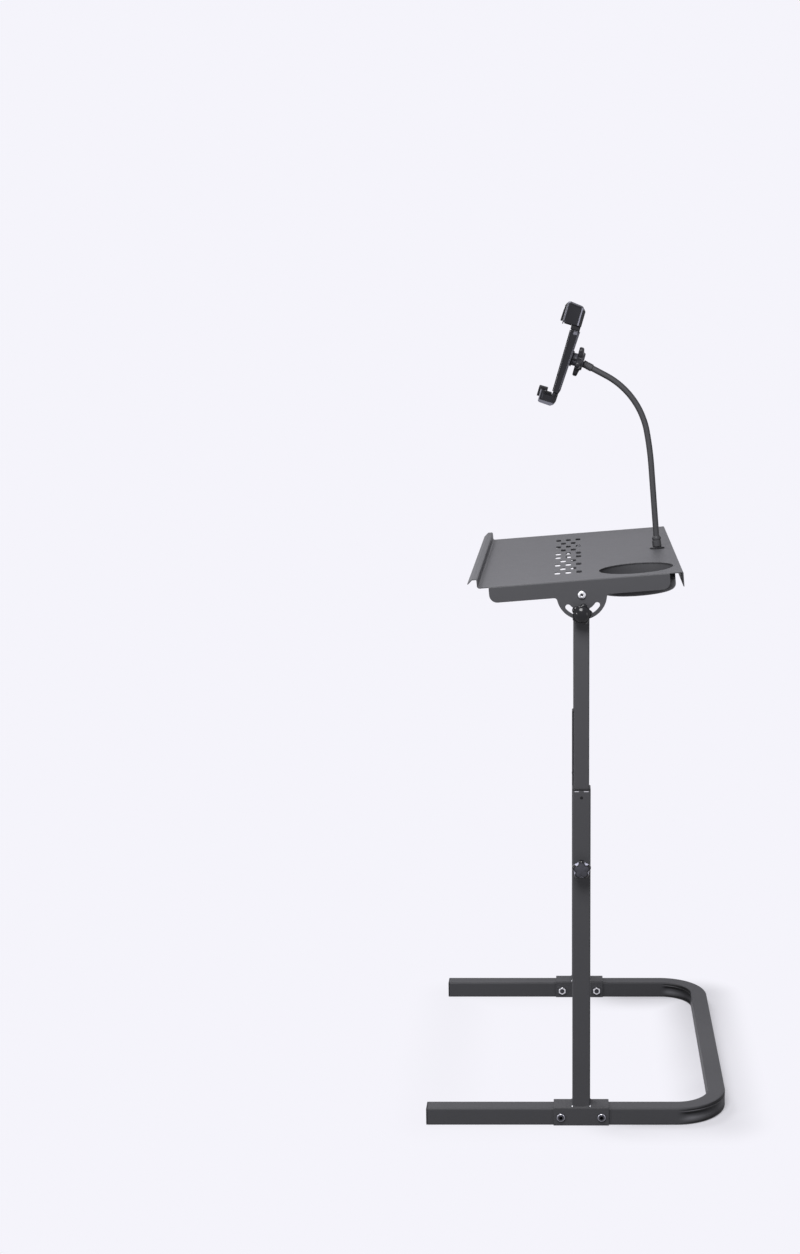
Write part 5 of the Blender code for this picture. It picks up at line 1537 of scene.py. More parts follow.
    def well(self) -> Skin:
        """Build the drawn cup well: one turned sheet with a flat rim under the tray."""
        inner = self.cup_hole / 2 + 0.0011
        outer = inner + self.cup_wall
        top = PLAN.rise - PLAN.sheet - PLAN.gap
        floor = PLAN.rise - self.cup_depth
        wall = self.cup_wall
        corners = [(0, floor + wall, 0), (inner * 0.62, floor + wall, 0.002),
            (inner * 0.64, floor + wall + 0.0006, 0.002), (inner, floor + wall + 0.0006, self.cup_corner
            - wall), (inner, top, 0.0003), (outer + self.cup_rim, top, 0.0004),
            (outer + self.cup_rim, top - wall, 0.0004), (outer, top - wall, 0.0008),
            (outer, floor, self.cup_corner), (0, floor, 0)]
        seat = TRAY_SEAT.shifted(self.cup_x, self.cup_y)
        return Skin("cup_bowl").grid(seat.put(turned(corners, 128, 6)))

    def build(self) -> list[Piece]:
        """Build and dress the tray and its well."""
        return [self.sheet(), self.well().finish(Slot.TRAY, "tray", ["cup_well"], 40)]


@dataclass
class Gooseneck:
    """The bendable neck: foot, sheathed tube in lengths, and ferrule."""

    diameter: float = 0.0105
    straight: float = 0.1432
    soft_arc: float = 0.063
    soft_angle: float = math.radians(6.3)
    arc: float = 0.1244
    arc_angle: float = math.radians(51.4)
    end: float = 0.0449
    hinges: tuple[float, ...] = (0.070, 0.130, 0.190, 0.250, 0.310)
    reach: float = 0.022
    base_diameter: float = 0.026
    base_thickness: float = 0.003
    foot_diameter: float = 0.016
    foot_length: float = 0.019
    pin: float = 0.008
    pin_length: float = 0.012
    ferrule_diameter: float = 0.013
    ferrule_length: float = 0.018
    stem: float = 0.0064
    ball_offset: float = 0.01275
    around: int = 40
    tail: float = 0.0015

    @property
    def length(self) -> float:
        """Length of the middle line, ferrule included."""
        return self.straight + self.soft_arc + self.arc + self.end

    def line(self, lengths: Array) -> tuple[Array, Array, Array]:
        """Return the middle line's x, z and lean at lengths along it.

        A straight run adds length times (-sin lean, cos lean). An arc of radius run / angle
        adds radius times the change of (cos lean, sin lean).

        Args:
            lengths: Distances from the tray's top.

        Returns:
            The x, z and lean at each.
        """
        lengths = np.asarray(lengths, float)
        x = np.full(lengths.shape, PLAN.neck_x)
        z = np.full(lengths.shape, PLAN.rise)
        lean = 0.0
        leans = np.zeros(lengths.shape)
        start = 0.0
        for run, angle in ((self.straight, 0.0), (self.soft_arc, self.soft_angle),
                (self.arc, self.arc_angle), (self.end + 1.0, 0.0)):
            part = np.clip(lengths - start, 0, run)
            if angle:
                radius = run / angle
                turn = angle * part / run
                x += radius * (np.cos(lean + turn) - math.cos(lean))
                z += radius * (np.sin(lean + turn) - math.sin(lean))
                leans += turn
            else:
                x -= part * math.sin(lean)
                z += part * math.cos(lean)
            lean += angle
            start += run
        return x, z, leans

    def seat(self, length: float) -> Seat:
        """Return the frame at a length along the neck, with its Z along it."""
        x, z, lean = (float(part) for part in self.line(np.array(length)))
        carried = TRAY_SEAT.put(np.array([[x, 0, z], [x + math.cos(lean), 0, z + math.sin(lean)],
            [x - math.sin(lean), 0, z + math.cos(lean)]]))
        return Seat(tuple(carried[0]), tuple(carried[1] - carried[0]), tuple(carried[2] - carried[0]))

    def tube(self, name: str, low: float, high: float) -> Skin:
        """Build one length of the sheath.

        A point is the middle line plus the radius times cos v across it and sin v along Y.

        Args:
            name: The piece's name.
            low: Start along the neck.
            high: End along the neck.

        Returns:
            The piece.
        """
        lengths = np.linspace(low, high, max(12, int((high - low) / 0.0012)))
        x, z, lean = self.line(lengths)
        turns = full_turn(self.around)
        radius = self.diameter / 2
        x, z, lean = x[:, None], z[:, None], lean[:, None]
        across = radius * np.cos(turns)
        rows = plot(x + across * np.cos(lean), radius * np.sin(turns), z + across * np.sin(lean))
        carried = TRAY_SEAT.put(rows)
        skin = Skin(name)
        skin.grid(carried, along=np.repeat(lengths, self.around))
        return skin.cap(carried[0]).cap(carried[-1])

    def foot(self) -> Skin:
        """Build the crimped foot that turns on the swivel pin."""
        low = PLAN.gap + self.base_thickness + PLAN.gap
        radius, bore = self.foot_diameter / 2, self.pin / 2 + PLAN.gap
        roof = PLAN.gap + self.base_thickness + self.pin_length + PLAN.gap
        high = low + self.foot_length
        groove = radius - 0.0007
        corners = [(0, roof, 0), (bore, roof, 0.0003), (bore, low, 0.0003), (radius, low, 0.0008),
            (radius, low + 0.0100, 0.0003), (groove, low + 0.0106, 0.0003),
            (groove, low + 0.0120, 0.0003), (radius, low + 0.0126, 0.0003),
            (radius, high - 0.0035, 0.0025), (self.diameter / 2 + 0.0006, high, 0.0008), (0, high, 0)]
        return Skin("neck_socket").grid(self.seat(0.0).put(turned(corners, 56, 4)))

    def base(self) -> Skin:
        """Build the round base plate with its swivel pin and threaded tail."""
        top = PLAN.gap + self.base_thickness
        tail = PLAN.sheet + PLAN.gap + Fastener.nut_height + self.tail
        radius, pin = self.base_diameter / 2, self.pin / 2
        profile = fillet([(0, top + self.pin_length, 0), (pin, top + self.pin_length, 0.0006),
            (pin, top, 0.0003), (radius - 0.0022, top, 0.0010), (radius, top - 0.0012, 0.0008),
            (radius, PLAN.gap, 0.0003), (pin, PLAN.gap, 0.0002)], 4, False, 0.0003)
        tail_points = thread(pin, -0.0008, -tail + 0.0006)
        rows = lathe(list(map(tuple, profile)) + tail_points + [(pin - 0.0008, -tail), (0, -tail)], 56)
        return Skin("neck_plate").grid(self.seat(0.0).put(rows))

    def ferrule(self) -> Skin:
        """Build the ferrule that holds the ball's stem, with two crimp grooves."""
        radius, bore = self.ferrule_diameter / 2, self.stem / 2 + PLAN.gap
        depth = 0.009 + PLAN.gap
        low = -self.ferrule_length
        corners = [(0, -depth, 0), (bore, -depth, 0.0002), (bore, 0, 0.0003), (radius, 0, 0.0012),
            (radius, -0.0060, 0.0002), (radius - 0.0004, -0.0064, 0.0002),
            (radius - 0.0004, -0.0076, 0.0002), (radius, -0.0080, 0.0002), (radius, low, 0.0014),
            (0, low, 0)]
        return Skin("neck_sleeve").grid(self.seat(self.length).put(turned(corners, 48, 4)))

    def build(self) -> Iterator[Piece]:
        """Build and dress the neck, each length of its sheath spanning one joint."""
        yield self.base().finish(Slot.PLASTIC, "tray", ["neck_base"], 45)
        yield self.foot().finish(Slot.NECK, "neck_1", ["neck_foot"], 45)
        yield self.ferrule().finish(Slot.NECK, "neck_6", ["neck_ferrule"], 45)
        lock = Fastener(self.pin)
        under = self.seat(-PLAN.sheet - PLAN.gap)
        down = Seat(under.origin, under.x_axis, opposite(under.z_axis))
        yield lock.nut("neck_lock", down).finish(Slot.ZINC, "tray", ["neck_base_nut"])
        low = PLAN.gap * 2 + self.base_thickness + self.foot_length - 0.0004
        cuts = [low] + [(a + b) / 2 for a, b in zip(self.hinges, self.hinges[1:])]
        cuts.append(self.length - self.ferrule_length + 0.0004)
        for index, hinge in enumerate(self.hinges):
            skin = self.tube("neck_sheath_%d" % (index + 1), cuts[index], cuts[index + 1])
            nodes = ["neck_link_%d" % (index + 1)]
            if index == len(self.hinges) - 1:
                nodes.append("neck_link_%d" % (index + 2))
            piece = skin.finish(Slot.NECK, None, nodes, 60)
            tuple(self.seat(hinge - self.reach).origin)
            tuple(self.seat(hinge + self.reach).origin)
            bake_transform(piece)
            yield piece


@dataclass
class Holder:
    """The tablet holder: ball, liner, collar nut, back, two jaws, pads and screw."""

    neck: Gooseneck
    ball: float = 0.008
    ball_room: float = 0.0003
    liner_wall: float = 0.0014
    collet_wall: float = 0.0012
    collet_reach: float = 0.005
    stem_depth: float = 0.009
    ball_angle: float = math.radians(11.5)
    collar_radius: float = 0.0275
    collar_waist: float = 0.015
    collar_back: float = 0.0003
    collar_wing: float = 0.0085
    collar_front: float = 0.0125
    collar_plate: float = 0.0066
    top: float = 0.048
    bottom: float = 0.064
    face: float = 0.0239
    thick: float = 0.0117
    flare: float = 0.0046
    chamfer: float = 0.0022
    chamfer_height: float = 0.007
    width: float = 0.056
    flange: float = 0.014
    flange_face: float = 0.007
    tongue_width: float = 0.022
    tongue_thick: float = 0.003
    tongue_length: float = 0.095
    tongue_depth: float = 0.0195
    jaw_width: float = 0.062
    upper_base: float = 0.0543
    upper_top: float = 0.0935
    upper_front: float = 0.0416
    upper_rear: float = 0.0084
    upper_lip: float = 0.0018
    upper_reach: float = 0.0012
    lower_top: float = 0.0665
    lower_base: float = 0.0874
    lower_front: float = 0.0452
    lower_rear: float = 0.0143
    lower_lip: float = 0.0086
    lower_reach: float = 0.0034
    screw_depth: float = 0.0796
    guard: float = 0.004
    guard_top: float = 0.0028
    guard_leg: float = 0.0023
    guard_reach: float = 0.0165
    pad: float = 0.0015
    relief: float = 0.0016
    rounding: float = 0.003

    @property
    def lean(self) -> float:
        """Angle of the neck's end plus the ball's angle, in the tray's frame."""
        return self.neck.soft_angle + self.neck.arc_angle + self.ball_angle

    @property
    def cavity(self) -> float:
        """Radius of the hollow round the ball's liner."""
        return self.ball + 2 * self.ball_room + self.liner_wall

    def seat(self) -> Seat:
        """Return the holder's frame: Z towards the neck, X down along the holder."""
        ball = self.neck.seat(self.neck.length + self.neck.ball_offset)
        turn = self.lean + PLAN.tilt
        along = np.array([math.sin(turn), 0, -math.cos(turn)])
        return Seat(ball.origin, (-math.cos(turn), 0, -math.sin(turn)), tuple(along))

    def across(self) -> Seat:
        """Return the frame with X up along the holder, Y towards the neck and Z along Y."""
        seat = self.seat()
        return Seat(seat.origin, opposite(seat.x_axis), (0, 1, 0))

    def form(self, name: str, rows: Sequence[Array]) -> Skin:
        """Return a closed skin from rows in the frame across the holder."""
        return Skin(name).solid(self.across().put(rows))

    def ball_stud(self) -> Skin:
        """Build the ball with its waisted stem: a sphere's arc and then the stem's profile."""
        stem = self.neck.stem / 2
        turns = np.linspace(0, math.pi - math.asin(stem / self.ball), 28)
        profile = list(zip((self.ball * np.sin(turns)).tolist(), (self.ball * np.cos(turns)).tolist()))
        tip = -self.neck.ball_offset - self.stem_depth
        profile += [(stem, -self.ball * 1.06), (stem, tip + 0.0006), (stem - 0.0006, tip), (0.0, tip)]
        seat = self.neck.seat(self.neck.length + self.neck.ball_offset)
        return Skin("ball_pin").grid(seat.put(lathe(profile, 48)))

    def liner(self) -> Skin:
        """Build the liner: two concentric arcs joined at the mouth."""
        inner = self.ball + self.ball_room
        outer = inner + self.liner_wall
        lip = self.collet_reach - 0.0005
        start_in = math.acos(lip / inner)
        start_out = math.acos(lip / outer)
        out = np.linspace(start_out, math.pi, 24)
        into = np.linspace(math.pi, start_in, 24)
        profile = np.concatenate([plot(outer * np.sin(out), outer * np.cos(out)),
            plot(inner * np.sin(into), inner * np.cos(into))])
        return Skin("ball_liner").grid(self.seat().put(lathe(profile, 48)), wrap_u=True)

    def collar(self) -> Piece:
        """Build the collar nut with its five wings.

        A ring at angle a reaches waist + (radius - waist) times (0.5 + 0.5 cos 5a) to the
        0.7. The front rises from the wings to the hub, whose mouth flares round the neck.

        Returns:
            The piece.
        """
        count = 150
        angles = full_turn(count)
        wave = 0.5 + 0.5 * np.cos(5 * angles)
        outer = self.collar_waist + (self.collar_radius - self.collar_waist) * wave ** 0.7
        collet = self.cavity + self.collet_wall + self.ball_room
        mouth, hub = self.ball + 0.0004, self.collar_waist
        wing, front, back = self.collar_wing, self.collar_front, -self.collar_back
        plate, edge = self.collar_plate, 0.0026
        levels = [(mouth, plate), (mouth + 0.0002, plate + 0.0002), (collet, plate + 0.0024),
                  (collet + 0.0009, front - 0.0004), (collet + 0.0013, front), (hub - 0.0006, front),
                  (hub, front - 0.0006), (hub + 0.0010, wing + 0.0012)]
        for turn in np.linspace(0.25, math.pi / 2, 6):
            reach = np.maximum(outer - edge * (1 - math.sin(turn)), hub + 0.0011)
            levels.append((reach, wing - wave * 0.0008 - edge * (1 - math.cos(turn))))
        for turn in np.linspace(math.pi / 2, 0, 7):
            levels.append((outer - edge * (1 - math.sin(turn)), back + edge * (1 - math.cos(turn))))
        levels += [(hub - 0.0030, back), (collet + 0.0004, back), (collet, back + 0.0004), (collet, plate)]
        rows = self.seat().put(spin(angles, *levels))
        skin = Skin("collar_wings").grid(rows, wrap_u=True)
        # Painted highlights: stronger on the hub's sloping faces, weaker on the wings'.
        self.paint_highlights(skin, (-hub, hub, -front - 0.001, -wing, 0.8), (-0.03, 0.03, -wing, 0.001, 0.35))
        return skin.finish(Slot.PLASTIC, "collar", ["collar_nut"], 50)

    def back(self) -> Piece:
        """Build the back: a rounded profile with sunk sides, its collet, cavity and guide."""
        rear = self.face - self.thick
        low = self.bottom - self.chamfer_height
        profile = Outline(((self.top, -self.face, 0.0008), (self.top, self.flare - rear, 0.0012),
            (-low, -rear, 0.004), (-self.bottom, -rear - self.chamfer, 0.0010),
            (-self.bottom, -self.face, 0.0008)))
        half = self.width / 2
        rows = profile.prism(-half, half, 0.0014, 4, 0.0022, 0.0006)
        skin = self.form("holder_back_skin", rows)
        cavity = self.cavity
        collet = cavity + self.collet_wall
        wide, face, rise = self.flange, -self.flange_face, self.collet_reach
        corners = [(0, rise, 0), (collet, rise, 0.0004), (collet, face, 0.0008), (wide, face, 0.0010),
            (wide, face - 0.0018, 0.0003), (wide - 0.0012, face - 0.0024, 0.0003),
            (wide - 0.0012, -rear - 0.001, 0), (0, -rear - 0.001, 0)]
        skin.combine(Skin("collet").grid(self.seat().put(turned(corners, 64, 4))), "UNION")
        turns = np.linspace(0, math.pi, 25)
        hollow = list(zip((cavity * np.sin(turns)).tolist(), (cavity * np.cos(turns)).tolist()))
        skin.combine(Skin("cavity").grid(self.seat().put(lathe(hollow, 48))))
        deep = self.tongue_length - self.upper_base + 0.0045
        high, room = self.top + 0.01, self.tongue_thick / 2 + PLAN.gap
        guide = Outline(((high, -self.tongue_depth - room, 0), (high, -self.tongue_depth + room, 0),
            (-deep, -self.tongue_depth + room, 0), (-deep, -self.tongue_depth - room, 0)))
        half = self.tongue_width / 2 + PLAN.gap
        skin.combine(self.form("guide", guide.prism(-half, half, 0.0002, 1)))
        drill = [(0, -0.012), (0.0023, -0.012), (0.0023, 0.010), (0, 0.010)]
        skin.combine(Skin("drill").grid(self.screw_seat(self.bottom).put(lathe(drill, 24))))
        # Painted highlights on the back's rounded side edges, within the zone given.
        self.paint_highlights(skin, (-self.bottom, self.top, -0.01, rear + 0.0016, 0.5))
        return settle(skin.finish(Slot.HOLDER, "holder", ["holder_back"]))

    def windows(self) -> Piece:
        """Build the two pale plates that close the sides of the tongue's guide."""
        rear, half = self.face - self.thick - self.flare, self.width / 2
        plate = Outline(((self.top - 0.0002, -rear - 0.0034, 0.0004),
            (self.top - 0.0002, -rear - 0.0105, 0.0004), (self.top - 0.0072, -rear - 0.0110, 0.0004),
            (self.top - 0.0072, -rear - 0.0044, 0.0004)))
        skin = Skin("guide_windows")
        for side in Side:
            low, high = sorted((side.value * (half - 0.0008), side.value * (half - 0.0001)))
            skin.solid(self.across().put(plate.prism(low, high, 0.0002, 2)))
        mesh = skin.mesh()
        # The plates are lightened with the same mark as the painted highlights.
        mesh.attributes.new("painted_highlight", "FLOAT", "FACE").data.foreach_set("value",
            np.full(len(mesh.polygons), 0.7))
        return skin.finish(Slot.HOLDER, "holder")

    def screw_seat(self, down: float) -> Seat:
        """Return the screw's frame: its Z down along the holder."""
        seat = self.seat()
        place = tuple(seat.put(np.array([down, 0, -self.tongue_depth])))
        return Seat(place, opposite(seat.z_axis), seat.x_axis)

    def tongue(self) -> Array:
        """Return the tongue's rings: a flat bar with fine ratchet teeth on its rear."""
        low = self.upper_base - self.tongue_length
        high = self.upper_base + self.pad
        front = -self.tongue_depth - self.tongue_thick / 2
        rear = -self.tongue_depth + self.tongue_thick / 2
        spots = np.arange(low + 0.004, high - 0.004, 0.0015)
        teeth = plot(spots, np.where(np.arange(len(spots)) % 2, rear - 0.0004, rear))
        ring = np.concatenate([[[high, front], [high, rear]], teeth[::-1],
            [[low, rear - 0.0006], [low + 0.0005, front]]])
        half = self.tongue_width / 2
        return np.stack([lift(ring, -half), lift(ring, half)])

    def paint_highlights(self, skin: Skin, *zones: tuple[float, ...]) -> None:
        """Mark the sloping faces in some zones for a painted highlight.

        Args:
            skin: The piece.
            *zones: Lowest and highest height up the holder, lowest and highest depth, amount.
        """
        seat = self.seat()
        up, depth = -np.array(seat.x_axis), -np.array(seat.z_axis)
        mesh = skin.mesh()
        layer = mesh.attributes.new("painted_highlight", "FLOAT", "FACE")
        for face, mark in zip(mesh.polygons, layer.data):
            centre = np.array(face.center) - seat.origin
            height, deep = float(centre @ up), float(centre @ depth)
            if not 0.2 < abs(face.normal.y) < 0.985:
                continue
            mark.value = max([amount for low, high, near, far, amount in zones if low < height < high
                and near < deep < far], default=0.0)

    def pockets(self, skin: Skin, outline: Outline, deep: float, slope: float = 0.5) -> None:
        """Sink one outline into both sides of a jaw, its walls drawn in by slope times deep."""
        half = self.jaw_width / 2
        for side in Side:
            rings = outline.rings((0, side.value * (half + 0.001)), (0, side.value * half),
                                  (deep * slope, side.value * (half - deep)))
            skin.combine(self.form("pocket", rings))

    def strips(self, name: str, outline: Outline, deep: float) -> Skin:
        """Build the black strips that lie in the pockets at the rear of a jaw's sides."""
        half = self.jaw_width / 2
        skin = Skin(name)
        for side in Side:
            low, high = sorted((side.value * (half - deep), side.value * (half - 0.0004)))
            skin.solid(self.across().put(outline.prism(low, high, 0.0003, 2)))
        return skin

    def upper_strip(self) -> Outline:
        """Return the outline of the strip down the rear of the upper jaw's sides."""
        rear, base = self.upper_rear, self.upper_base + self.pad + PLAN.gap
        return Outline(((base + 0.0004, -rear - 0.0003, 0.0003),
            (self.upper_top - 0.0104, -rear - 0.0003, 0.001),
            (self.upper_top - 0.0072, -rear - 0.0034, 0.001),
            (self.upper_top - 0.0090, -rear - 0.0048, 0.001), (base + 0.0004, -rear - 0.0048, 0.0003)))

    def lower_strip(self) -> Outline:
        """Return the outline of the strip down the rear of the lower jaw's sides."""
        rear, heel, base = self.lower_rear, self.bottom + PLAN.gap, self.lower_base
        return Outline(((-heel - 0.0006, -rear - 0.0003, 0.0003),
            (-heel - 0.0006, -rear - 0.0030, 0.0003), (-heel - 0.0110, -rear - 0.0052, 0.001),
            (-base + 0.0052, -rear - 0.0052, 0.001), (-base + 0.0062, -rear - 0.0022, 0.001),
            (-base + 0.0098, -rear - 0.0008, 0.001)))

    def upper_jaw(self) -> Piece:
        """Build the sliding jaw: its rounded block with sunk sides, and its tooth."""
        base = self.upper_base + self.pad + PLAN.gap
        tip, high = self.upper_base - self.upper_reach, self.upper_top
        front, rear, half = self.upper_front, self.upper_rear, self.jaw_width / 2
        block = Outline(((base, -rear, 0.0010), (high - 0.010, -rear, 0.003),
            (high - 0.0025, -rear - 0.0068, 0.003), (high, -front + 0.0041, 0.003),
            (high - 0.0017, -front, 0.0015), (base, -front, 0.0006)), 5, 0.0002)
        rows = block.prism(-half, half, self.rounding, 6)
        skin = self.form("upper_jaw_skin", rows)
        panel = Outline(((base - 0.01, -rear - 0.0053, 0.0004), (high - 0.0052, -rear - 0.0053, 0.001),
            (high - 0.0042, -front + 0.0040, 0.001), (base - 0.01, -front + 0.0040, 0.0004)))
        self.pockets(skin, panel, 0.0012, 1.8)
        strip = Outline(((base - 0.01, -rear + 0.01, 0), (high - 0.0100, -rear + 0.01, 0),
            (high - 0.0064, -rear - 0.0034, 0.001), (high - 0.0086, -rear - 0.0051, 0.001),
            (base - 0.01, -rear - 0.0051, 0)))
        self.pockets(skin, strip, 0.0018)
        tooth = Outline(((tip, -front, 0.0005), (tip, -front + self.upper_lip, 0.0005),
            (base + 0.004, -front + self.upper_lip, 0), (base + 0.004, -front, 0)))
        rows = tooth.prism(0.0005 - half, half - 0.0005, 0.0004, 2)
        skin.combine(self.form("tooth", rows), "UNION")
        # Painted highlights on the rounded side edges: the ridge, the front and the top.
        self.paint_highlights(skin, (base - 0.004, high - 0.005, rear + 0.005, rear + 0.0076, 1.0),
            (base - 0.004, high - 0.012, front - 0.003, front + 0.001, 0.6),
            (high - 0.012, high + 0.001, front - 0.004, front + 0.001, 1.0),
            (high - 0.004, high + 0.001, rear, front - 0.004, 0.35))
        return settle(skin.finish(Slot.HOLDER, "jaw", ["upper_jaw"]))

    def slider(self) -> Piece:
        """Build the black shoulder under the upper jaw and its toothed tongue."""
        base = self.upper_base + self.pad
        low, wide = self.top + PLAN.gap, self.width / 2 - 0.001
        face, rear = self.face + self.relief - PLAN.gap, self.upper_rear + 0.0007
        block = Outline(((low, -face, 0.0006), (base, -face, 0), (base, -rear, 0), (low, -rear, 0.0010)))
        skin = self.form("jaw_slider", block.prism(-wide, wide, 0.0008, 3))
        skin.combine(self.form("tongue", self.tongue()), "UNION")
        return settle(skin.finish(Slot.PLASTIC, "jaw"))

    def lower_jaw(self) -> Piece:
        """Build the fixed jaw: a rounded shelf with a lip, sunk sides and a screw hole."""
        shelf = self.lower_top + self.pad + PLAN.gap
        tip, base = self.lower_top - self.lower_reach, self.lower_base
        front, rear, half = self.lower_front, self.lower_rear, self.jaw_width / 2
        inner, heel = front - self.lower_lip, self.bottom + PLAN.gap
        block = Outline(((-heel, -rear, 0.0010), (-heel, -self.face, 0.0006),
            (-shelf, -self.face, 0.0004), (-shelf, -inner, 0.0010), (-tip, -inner, 0.0008),
            (-tip, -front, 0.0008), (-base + 0.0028, -front, 0.0016),
            (-base + 0.0010, -front + 0.0027, 0.0016), (-base, -rear - 0.0082, 0.002),
            (-base + 0.0034, -rear - 0.0033, 0.002), (-base + 0.0094, -rear - 0.0006, 0.003)), 5, 0.0001)
        rows = block.prism(-half, half, self.rounding * 0.66, 6)
        skin = self.form("lower_jaw_skin", rows)
        panel = Outline(((-shelf - 0.0008, -rear - 0.0062, 0.001),
            (-shelf - 0.0008, -front + 0.0042, 0.001), (-base + 0.0072, -front + 0.0050, 0.001),
            (-base + 0.0072, -rear - 0.0062, 0.001)))
        self.pockets(skin, panel, 0.0012, 1.2)
        for side in Side:
            wedge = [(-base + 0.0058, half), (-base + 0.0062, half + 0.002),
                (-base - 0.003, half + 0.002), (-base - 0.003, half - 0.0020)]
            rows = [np.array([(up, depth, side.value * out) for up, out in wedge])
                for depth in (0.0, -front - 0.002)]
            skin.combine(self.form("wedge", rows))
        strip = Outline(((-heel + 0.01, -rear + 0.01, 0), (-heel + 0.01, -rear - 0.0033, 0),
            (-heel - 0.0109, -rear - 0.0055, 0.001), (-base + 0.0047, -rear - 0.0055, 0.001),
            (-base + 0.0047, -rear + 0.01, 0)))
        self.pockets(skin, strip, 0.0018)
        drill = [(0, 0.02), (0.0044, 0.02), (0.0044, 0), (0.0023, 0), (0.0023, -0.03), (0, -0.03)]
        hole = Skin("drill").grid(self.screw_seat(self.screw_depth).put(lathe(drill, 32)))
        skin.combine(hole)
        # Painted highlights on the rounded side edges: low on the jaw and along its front.
        self.paint_highlights(skin, (-base - 0.001, -base + 0.0062, rear, front + 0.001, 0.8),
            (-base + 0.006, -shelf + 0.004, front - 0.0025, front + 0.001, 0.8),
            (-base + 0.0062, -shelf + 0.001, front - 0.0056, front - 0.0025, 0.3))
        return settle(skin.finish(Slot.HOLDER, "holder", ["lower_jaw"]))

    def upper_guard(self) -> Skin:
        """Build the guard on the upper jaw's front: a thin plate that thins towards its top."""
        face, high = self.upper_front + PLAN.gap, self.upper_top
        start, guard = self.upper_base + 0.003, self.guard
        profile = Outline(((start, -face, 0.0004), (high - 0.003, -face, 0.0004),
            (high - 0.005, -face - guard * 0.35, 0.002), (high - 0.0095, -face - guard * 0.65, 0.002),
            (high - 0.018, -face - guard * 0.87, 0.003), (start + 0.004, -face - guard, 0.002),
            (start, -face - guard, 0.0008)), 4, 0.0001)
        half = self.jaw_width / 2
        return self.form("upper_guard_skin", profile.prism(-half, half, 0.0005, 3))

    def lower_pad(self) -> Skin:
        """Build the lower jaw's liner: a ribbed pad on the shelf that folds over the lip."""
        inner = self.lower_front - self.lower_lip
        leg = inner - PLAN.gap - self.guard_leg
        start, end = -self.face - self.relief, 0.0004 - leg
        tip = self.lower_top - self.lower_reach
        under, high, face = tip - PLAN.gap, tip - PLAN.gap - self.guard_top, self.lower_front + PLAN.gap
        depth = np.linspace(start, end, 24)
        wave = 0.00025 * (0.5 - 0.5 * np.cos((depth - start) / (end - start) * 6 * math.pi))
        ribs = plot(-self.lower_top - wave, depth)
        low, out = -self.lower_top - self.pad, -face - self.guard
        fold = fillet([(-self.lower_top, -leg, 0.0004), (-high, -leg, 0.0010), (-high, out, 0.0014),
            (-high - self.guard_reach, out, 0.0006), (-high - self.guard_reach, -face, 0.0006),
            (-under, -face, 0.0004), (-under, -inner + PLAN.gap, 0.0004),
            (low, -inner + PLAN.gap, 0.0012)], 4, False, 0.0001)
        ring = np.concatenate([ribs, fold, [[low, -inner + 0.0018], [low, start]]])
        half = self.jaw_width / 2
        slim = inset(ring, 0.0003)
        return self.form("lower_pad_skin", [lift(slim, -half), lift(ring, 0.0003 - half),
            lift(ring, half - 0.0003), lift(slim, half)])

    def upper_pad(self) -> Skin:
        """Build the ribbed pad under the upper jaw: a wave of 0.25 mm along the depth."""
        low, high = self.upper_base, self.upper_base + self.pad
        start = -self.upper_front + self.upper_lip + self.relief
        end = -self.face - self.relief
        depth = np.linspace(start, end, 40)
        wave = 0.00025 * (0.5 + 0.5 * np.cos((depth - start) / 0.0026 * 2 * math.pi))
        ribbed = plot(low + wave, depth)
        ring = np.concatenate([ribbed, [[high, end], [high, start]]])
        half = self.jaw_width * 0.43
        return self.form("upper_pad_skin",
            [lift(ring, level) for level in (-half, 0.0004 - half, half - 0.0004, half)])

    def back_pad(self) -> Skin:
        """Build the ribbed pad on the back: a wave along the holder, 4 mm crest to crest."""
        rear = -self.face - PLAN.gap
        low, high = 0.002 - self.bottom, self.top - 0.002
        up = np.linspace(low, high, 120)
        wave = 0.0003 * (0.5 + 0.5 * np.cos(up / 0.004 * 2 * math.pi))
        ring = np.concatenate([plot(up, rear - self.pad + wave), [[high, rear], [low, rear]]])
        half = self.width * 0.4
        return self.form("back_pad_skin", [lift(ring, -half), lift(ring, half)])

    def build(self) -> list[Piece]:
        """Build and dress the whole holder."""
        screw = Fastener(0.004, 0.0076, 0.0035, 0.003, 0.0266, count=36)
        return [self.ball_stud().finish(Slot.BOLT, "ball", ["ball_stud"], 45),
            self.liner().finish(Slot.PLASTIC, "liner", ["socket_liner"], 45), self.collar(), self.back(),
            self.windows(), self.upper_jaw(), self.slider(), self.lower_jaw(),
            self.strips("upper_strips", self.upper_strip(), 0.0017).finish(Slot.PLASTIC, "jaw"),
            self.strips("lower_strips", self.lower_strip(), 0.0017).finish(Slot.PLASTIC, "holder"),
            self.upper_guard().finish(Slot.RUBBER, "jaw", ["upper_jaw_guard"]),
            self.upper_pad().finish(Slot.RUBBER, "jaw", ["upper_jaw_pad"]),
            self.lower_pad().finish(Slot.RUBBER, "holder", ["lower_jaw_pad"]),
            self.back_pad().finish(Slot.RUBBER, "holder", ["back_pad"]),
            screw.bolt("jaw_screw", self.screw_seat(self.screw_depth)).finish(
                Slot.BOLT, "holder", ["lower_jaw_screw"])]


